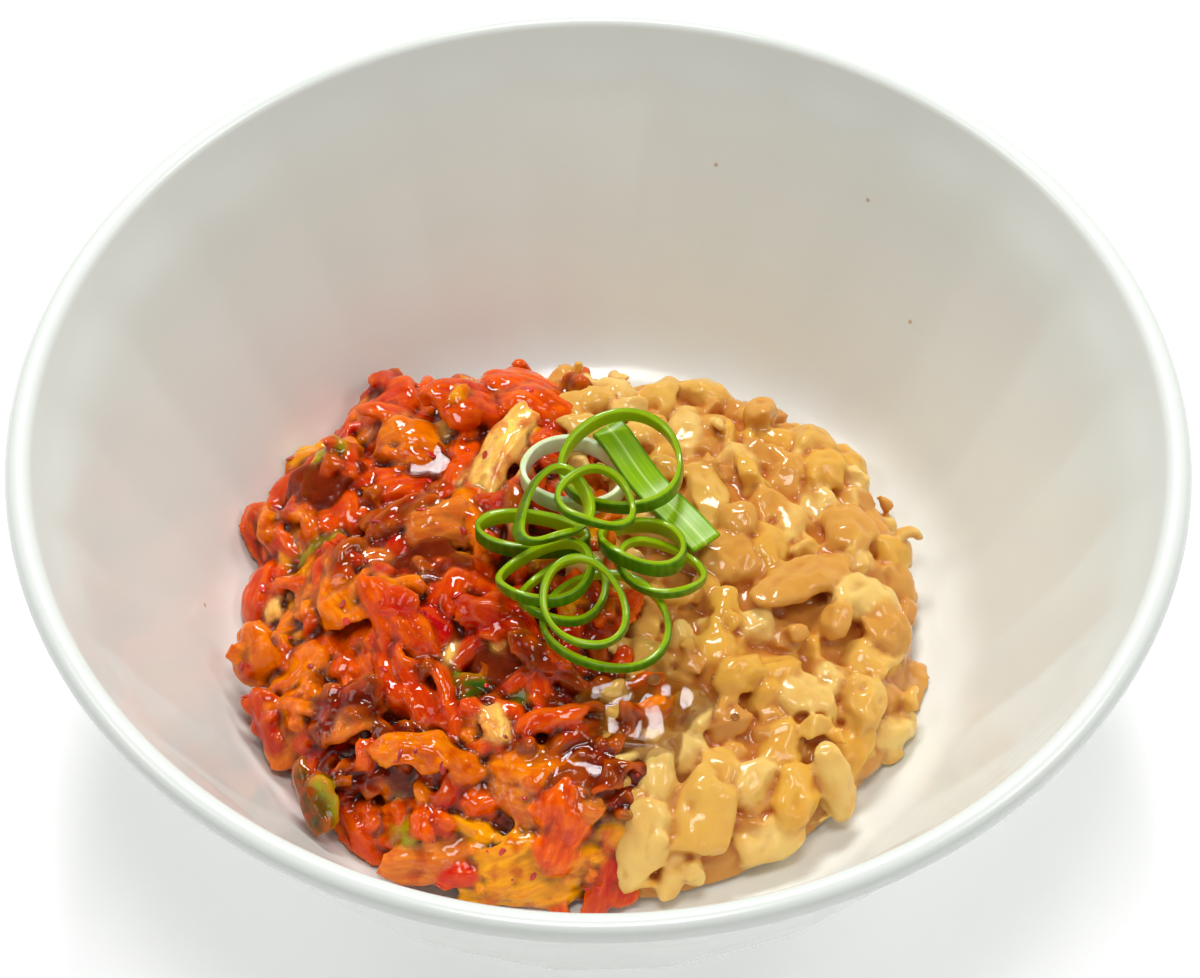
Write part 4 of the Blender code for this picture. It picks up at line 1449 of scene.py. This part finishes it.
def sauce(name, deep, shallow, opacity):
    """Thin oily sauce standing in a hollow: see-through, with a surface that ripples a little."""
    material, tree, shader = new_material(name)
    place = add_node(tree, "ShaderNodeTexCoord").outputs["Object"]
    cloud = add_node(tree, "ShaderNodeTexNoise", {"Vector": place, "Scale": per(4), "Detail": 3.0})
    colour = add_node(
        tree,
        "ShaderNodeMix",
        {MIX_SHARE: cloud.outputs["Fac"], MIX_A: linear(deep), MIX_B: linear(shallow)},
        data_type="RGBA",
    )
    tree.links.new(colour.outputs[MIX_RESULT], shader.inputs["Base Color"])
    swell = add_node(tree, "ShaderNodeTexNoise", {"Vector": place, "Scale": per(5), "Detail": 1.0})
    ripple = add_node(
        tree,
        "ShaderNodeBump",
        {"Height": swell.outputs["Fac"], "Strength": 0.35, "Distance": 0.5 * MM},
    )
    tree.links.new(ripple.outputs["Normal"], shader.inputs["Normal"])
    tree.links.new(ripple.outputs["Normal"], shader.inputs["Coat Normal"])
    set_shader(shader, Roughness=0.5, IOR=1.42, Coat_Weight=1.0, Coat_Roughness=0.02, Alpha=opacity)
    set_shader(shader, Specular_IOR_Level=0.0)
    return material


def bubble_film():
    """The thin skin of a bubble: nearly clear on top and brown where it meets the sauce, its opacity rising
    down its steep sides as painted shade.
    """
    material, tree, shader = new_material("bubble_skin")
    rim = add_node(tree, "ShaderNodeAttribute", attribute_name="rim")
    edge = add_node(
        tree,
        "ShaderNodeMapRange",
        {"Value": rim.outputs["Fac"], 1: 0.55, 2: 1.0, 3: 0.08, 4: 0.8},
    )
    tree.links.new(edge.outputs["Result"], shader.inputs["Alpha"])
    set_shader(shader, Base_Color=linear("#B0702C"), Roughness=0.08, IOR=1.4)
    set_shader(shader, Coat_Weight=1.0, Coat_Roughness=0.03)
    return material


def crushed_chilli():
    """Crushed dried chilli, soaked: dark to bright red from grain to grain."""
    material, tree, shader = new_material("crushed_chilli")
    place = add_node(tree, "ShaderNodeTexCoord").outputs["Object"]
    cloud = add_node(tree, "ShaderNodeTexNoise", {"Vector": place, "Scale": per(2), "Detail": 2.0})
    share = add_node(
        tree,
        "ShaderNodeMapRange",
        {"Value": cloud.outputs["Fac"], 1: 0.4, 2: 0.6, 3: 0.0, 4: 1.0},
    )
    colour = add_node(
        tree,
        "ShaderNodeMix",
        {MIX_SHARE: share.outputs["Result"], MIX_A: linear("#A00A02"), MIX_B: linear("#E01C06")},
        data_type="RGBA",
    )
    tree.links.new(colour.outputs[MIX_RESULT], shader.inputs["Base Color"])
    set_shader(shader, Roughness=0.4, IOR=1.4, Coat_Weight=1.0, Coat_Roughness=0.08)
    return material


def chopped_soybean():
    """Fermented soybean, chopped: waxy and cream inside, under a sticky film that smooths its edges."""
    material, tree, shader = new_material("sticky_chopped_soybean")
    place = add_node(tree, "ShaderNodeTexCoord").outputs["Object"]
    tint = add_node(tree, "ShaderNodeAttribute", attribute_name="tint")
    hollow = add_node(tree, "ShaderNodeAttribute", attribute_name="hollow")
    mottle = add_node(tree, "ShaderNodeTexNoise", {"Vector": place, "Scale": per(5), "Detail": 4.0})
    mottled = add_node(
        tree,
        "ShaderNodeMapRange",
        {"Value": mottle.outputs["Fac"], 1: 0.4, 2: 0.7, 3: 0.0, 4: 0.5},
    )
    warm = add_node(
        tree,
        "ShaderNodeMix",
        {MIX_SHARE: mottled.outputs["Result"], MIX_A: tint.outputs["Color"], MIX_B: linear("#D4923A")},
        data_type="RGBA",
    )
    # Crevices darken to a deep orange-brown: painted shade.
    crevice_shade = add_node(
        tree,
        "ShaderNodeMapRange",
        {"Value": hollow.outputs["Fac"], 1: -0.05, 2: 0.85, 3: 0.0, 4: 0.94},
    )
    colour = add_node(
        tree,
        "ShaderNodeMix",
        {MIX_SHARE: crevice_shade.outputs["Result"], MIX_A: warm.outputs[MIX_RESULT], MIX_B: linear("#B04400")},
        data_type="RGBA",
    )
    tree.links.new(colour.outputs[MIX_RESULT], shader.inputs["Base Color"])
    skin = add_node(tree, "ShaderNodeTexNoise", {"Vector": place, "Scale": per(1.4), "Detail": 3.0})
    wrinkle = add_node(
        tree,
        "ShaderNodeBump",
        {"Height": skin.outputs["Fac"], "Strength": 0.2, "Distance": 0.3 * MM},
    )
    tree.links.new(wrinkle.outputs["Normal"], shader.inputs["Normal"])
    set_shader(shader, Roughness=0.45, IOR=1.4, Coat_Weight=0.7, Coat_Roughness=0.12)
    set_shader(shader, Specular_IOR_Level=0.0, Subsurface_Weight=0.4, Subsurface_Scale=1.4 * MM)
    shader.inputs["Subsurface Radius"].default_value = (1.0, 0.5, 0.12)
    return material


def onion_leaf(name, skin_colour, flesh_colour, inner_colour):
    """Fresh spring onion leaf: a dark skin outside, juicy flesh at the cut and a pale lining inside."""
    material, tree, shader = new_material(name)
    cut = add_node(tree, "ShaderNodeAttribute", attribute_name="slice")
    parts = add_node(tree, "ShaderNodeSeparateXYZ", {"Vector": cut.outputs["Vector"]})
    ribs = add_node(tree, "ShaderNodeMapping", {"Vector": cut.outputs["Vector"], "Scale": (0.9, 0.12, 0.3)})
    veins = add_node(
        tree,
        "ShaderNodeTexNoise",
        {"Vector": ribs.outputs["Vector"], "Scale": 1.0, "Detail": 3.0},
    )
    lining = add_node(
        tree,
        "ShaderNodeMapRange",
        {"Value": parts.outputs["Z"], 1: 0.1, 2: 0.35, 3: 1.0, 4: 0.0},
    )
    skin = add_node(
        tree,
        "ShaderNodeMapRange",
        {"Value": parts.outputs["Z"], 1: 0.66, 2: 0.92, 3: 0.0, 4: 1.0},
    )
    inner = add_node(
        tree,
        "ShaderNodeMix",
        {MIX_SHARE: lining.outputs["Result"], MIX_A: linear(flesh_colour), MIX_B: linear(inner_colour)},
        data_type="RGBA",
    )
    outer = add_node(
        tree,
        "ShaderNodeMix",
        {MIX_SHARE: skin.outputs["Result"], MIX_A: inner.outputs[MIX_RESULT], MIX_B: linear(skin_colour)},
        data_type="RGBA",
    )
    striped = add_node(
        tree,
        "ShaderNodeMapRange",
        {"Value": veins.outputs["Fac"], 1: 0.35, 2: 0.7, 3: 0.0, 4: 0.2},
    )
    colour = add_node(
        tree,
        "ShaderNodeMix",
        {MIX_SHARE: striped.outputs["Result"], MIX_A: outer.outputs[MIX_RESULT], MIX_B: linear("#ACD01C")},
        data_type="RGBA",
    )
    tree.links.new(colour.outputs[MIX_RESULT], shader.inputs["Base Color"])
    ridge = add_node(
        tree,
        "ShaderNodeBump",
        {"Height": veins.outputs["Fac"], "Strength": 0.4, "Distance": 0.2 * MM},
    )
    tree.links.new(ridge.outputs["Normal"], shader.inputs["Normal"])
    set_shader(shader, Roughness=0.35, IOR=1.4, Coat_Weight=0.5, Coat_Roughness=0.1, Specular_IOR_Level=0.1)
    set_shader(shader, Subsurface_Weight=0.6, Subsurface_Radius=(0.5, 1.0, 0.15), Subsurface_Scale=0.8 * MM)
    return material


def onion_strip_leaf():
    """The cut-open leaf seen from its inside: fine pale veins along it and a pale fold down its middle."""
    material, tree, shader = new_material("fresh_spring_onion_strip")
    cut = add_node(tree, "ShaderNodeAttribute", attribute_name="slice")
    parts = add_node(tree, "ShaderNodeSeparateXYZ", {"Vector": cut.outputs["Vector"]})
    combed = add_node(
        tree,
        "ShaderNodeMapping",
        {"Vector": cut.outputs["Vector"], "Scale": (0.05, 2.6, 0.0)},
    )
    bands = add_node(
        tree,
        "ShaderNodeTexNoise",
        {"Vector": combed.outputs["Vector"], "Scale": 1.0, "Detail": 3.0},
    )
    banded = add_node(
        tree,
        "ShaderNodeMapRange",
        {"Value": bands.outputs["Fac"], 1: 0.38, 2: 0.62, 3: 0.0, 4: 1.0},
    )
    leaf = add_node(
        tree,
        "ShaderNodeMix",
        {MIX_SHARE: banded.outputs["Result"], MIX_A: linear("#7EAE08"), MIX_B: linear("#9CC20E")},
        data_type="RGBA",
    )
    aside = add_node(tree, "ShaderNodeMath", {0: parts.outputs["Y"]}, operation="ABSOLUTE")
    fold = add_node(
        tree,
        "ShaderNodeMapRange",
        {"Value": aside.outputs["Value"], 1: 0.06, 2: 0.22, 3: 0.5, 4: 0.0},
    )
    folded = add_node(
        tree,
        "ShaderNodeMix",
        {MIX_SHARE: fold.outputs["Result"], MIX_A: leaf.outputs[MIX_RESULT], MIX_B: linear("#DCEBA0")},
        data_type="RGBA",
    )
    border = add_node(
        tree,
        "ShaderNodeMapRange",
        {"Value": aside.outputs["Value"], 1: 2.05, 2: 2.3, 3: 0.0, 4: 0.6},
    )
    colour = add_node(
        tree,
        "ShaderNodeMix",
        {MIX_SHARE: border.outputs["Result"], MIX_A: folded.outputs[MIX_RESULT], MIX_B: linear("#2E7008")},
        data_type="RGBA",
    )
    tree.links.new(colour.outputs[MIX_RESULT], shader.inputs["Base Color"])
    ridge = add_node(
        tree,
        "ShaderNodeBump",
        {"Height": bands.outputs["Fac"], "Strength": 0.15, "Distance": 0.2 * MM},
    )
    tree.links.new(ridge.outputs["Normal"], shader.inputs["Normal"])
    set_shader(shader, Roughness=0.45, IOR=1.4, Coat_Weight=0.3, Coat_Roughness=0.22, Specular_IOR_Level=0.1)
    set_shader(shader, Subsurface_Weight=0.4, Subsurface_Radius=(0.5, 1.0, 0.15), Subsurface_Scale=0.8 * MM)
    return material


def table_white():
    """A plain matt white table, a shade lighter where light falls straight on it."""
    material, tree, shader = new_material("plain_white_table")
    place = add_node(tree, "ShaderNodeTexCoord").outputs["Object"]
    cloud = add_node(tree, "ShaderNodeTexNoise", {"Vector": place, "Scale": per(180), "Detail": 1.0})
    colour = add_node(
        tree,
        "ShaderNodeMix",
        {MIX_SHARE: cloud.outputs["Fac"], MIX_A: linear("#FAFAFA"), MIX_B: linear("#FCFCFC")},
        data_type="RGBA",
    )
    tree.links.new(colour.outputs[MIX_RESULT], shader.inputs["Base Color"])
    set_shader(shader, Roughness=0.9, Emission_Color=linear("#FFFFFF"), Emission_Strength=0.32)
    return material


# Camera, floor and light


def make_camera():
    """The photograph's viewpoint."""
    lens = bpy.data.cameras.new("camera")
    lens.sensor_width = SENSOR_WIDTH
    lens.lens = FOCAL_PIXELS / PHOTO_WIDTH * SENSOR_WIDTH
    lens.clip_start = 0.01
    camera = bpy.data.objects.new("camera", lens)
    bpy.context.scene.collection.objects.link(camera)
    camera.location = CAMERA_PLACE * MM
    camera.rotation_euler = (CAMERA_PITCH, 0, 0)
    bpy.context.scene.camera = camera


def make_floor():
    half = 1500.0
    corners = [(-half, -half, 0), (half, -half, 0), (half, half, 0), (-half, half, 0)]
    add_object("table", corners, [(0, 1, 2, 3)], table_white())


def add_softbox(name, place, size, power, target=(0, 0, 20)):
    """A rectangular soft light that faces the food."""
    light = bpy.data.lights.new(name, "AREA")
    light.shape = "RECTANGLE"
    light.size = size[0] * MM
    light.size_y = size[1] * MM
    light.energy = power
    lamp = bpy.data.objects.new(name, light)
    bpy.context.scene.collection.objects.link(lamp)
    lamp.location = Vector(place) * MM
    lamp.rotation_euler = (Vector(target) - Vector(place)).to_track_quat("-Z", "Y").to_euler()


def make_light():
    add_softbox("back_softbox", (-30, 440, 640), (230, 150), 3.2)
    add_softbox("top_softbox", (0, -120, 780), (260, 200), 2.0)
    add_softbox("left_softbox", (-460, 40, 600), (260, 200), 0.55)
    add_softbox("right_softbox", (460, 0, 600), (260, 200), 0.85)
    add_softbox("front_softbox", (150, -620, 620), (600, 400), 0.12)
    world = bpy.data.worlds.new("studio")
    world.use_nodes = True
    background = world.node_tree.nodes["Background"]
    background.inputs["Color"].default_value = linear("#FFFFFF")
    background.inputs["Strength"].default_value = 0.12
    bpy.context.scene.world = world
    bpy.context.scene.view_settings.view_transform = "Standard"


def main():
    noise.seed_set(NOISE_SEED)
    make_camera()
    make_floor()
    make_light()
    bowl_tree = tree_of_nodes("bowl")
    make_bowl(melamine([seen_at(bowl_tree, px, py) for px, py in SPECK_PIXELS]))
    kimchi_tree = tree_of_nodes("kimchi_heap")
    natto_tree = tree_of_nodes("natto_heap")
    food_tree = tree_of_nodes("kimchi_heap", "natto_heap")
    cuts = kimchi_pieces(kimchi_tree, food_tree)
    beans = natto_pieces(natto_tree, food_tree)
    kimchi = make_heap(
        "kimchi_cuts",
        "kimchi_heap",
        -1,
        cuts,
        # The core shows only in gaps between the pieces; its deep tint is painted shade there.
        TINTS["deep"],
        KIMCHI_FILM,
        KIMCHI_RELIEF,
        wet_cabbage(),
    )
    natto = make_heap(
        "natto_beans",
        "natto_heap",
        1,
        beans,
        NATTO_CORE,
        NATTO_FILM,
        NATTO_RELIEF,
        chopped_soybean(),
    )
    scatter_flakes(kimchi, crushed_chilli())
    ground = tree_of([kimchi.data, natto.data])
    red_sauce = sauce("chilli_sauce", "#5A0E00", "#A03404", 0.45)
    brown_sauce = sauce("brown_sauce", "#6A2A02", "#B87014", 0.3)
    add_loose("kimchi_sauce_pools", [pool_shape(ground, pool) for pool in CHILLI_POOLS], red_sauce)
    pool = add_loose("sauce_pool", [pool_shape(ground, pool) for pool in BROWN_POOLS], brown_sauce)
    make_bubbles(tree_of([kimchi.data, natto.data, pool.data]), bubble_film())
    green = onion_leaf("fresh_spring_onion_green", "#3E7600", "#90B000", "#A4C20A")
    white = onion_leaf("fresh_spring_onion_white", "#C9D8A0", "#DFE6C0", "#ECEFD8")
    rng = random.Random(ONION_SEED)
    for row in ONION_RINGS:
        make_ring(row, rng, white if row[0].endswith("white") else green)
    make_strip(onion_strip_leaf())


main()
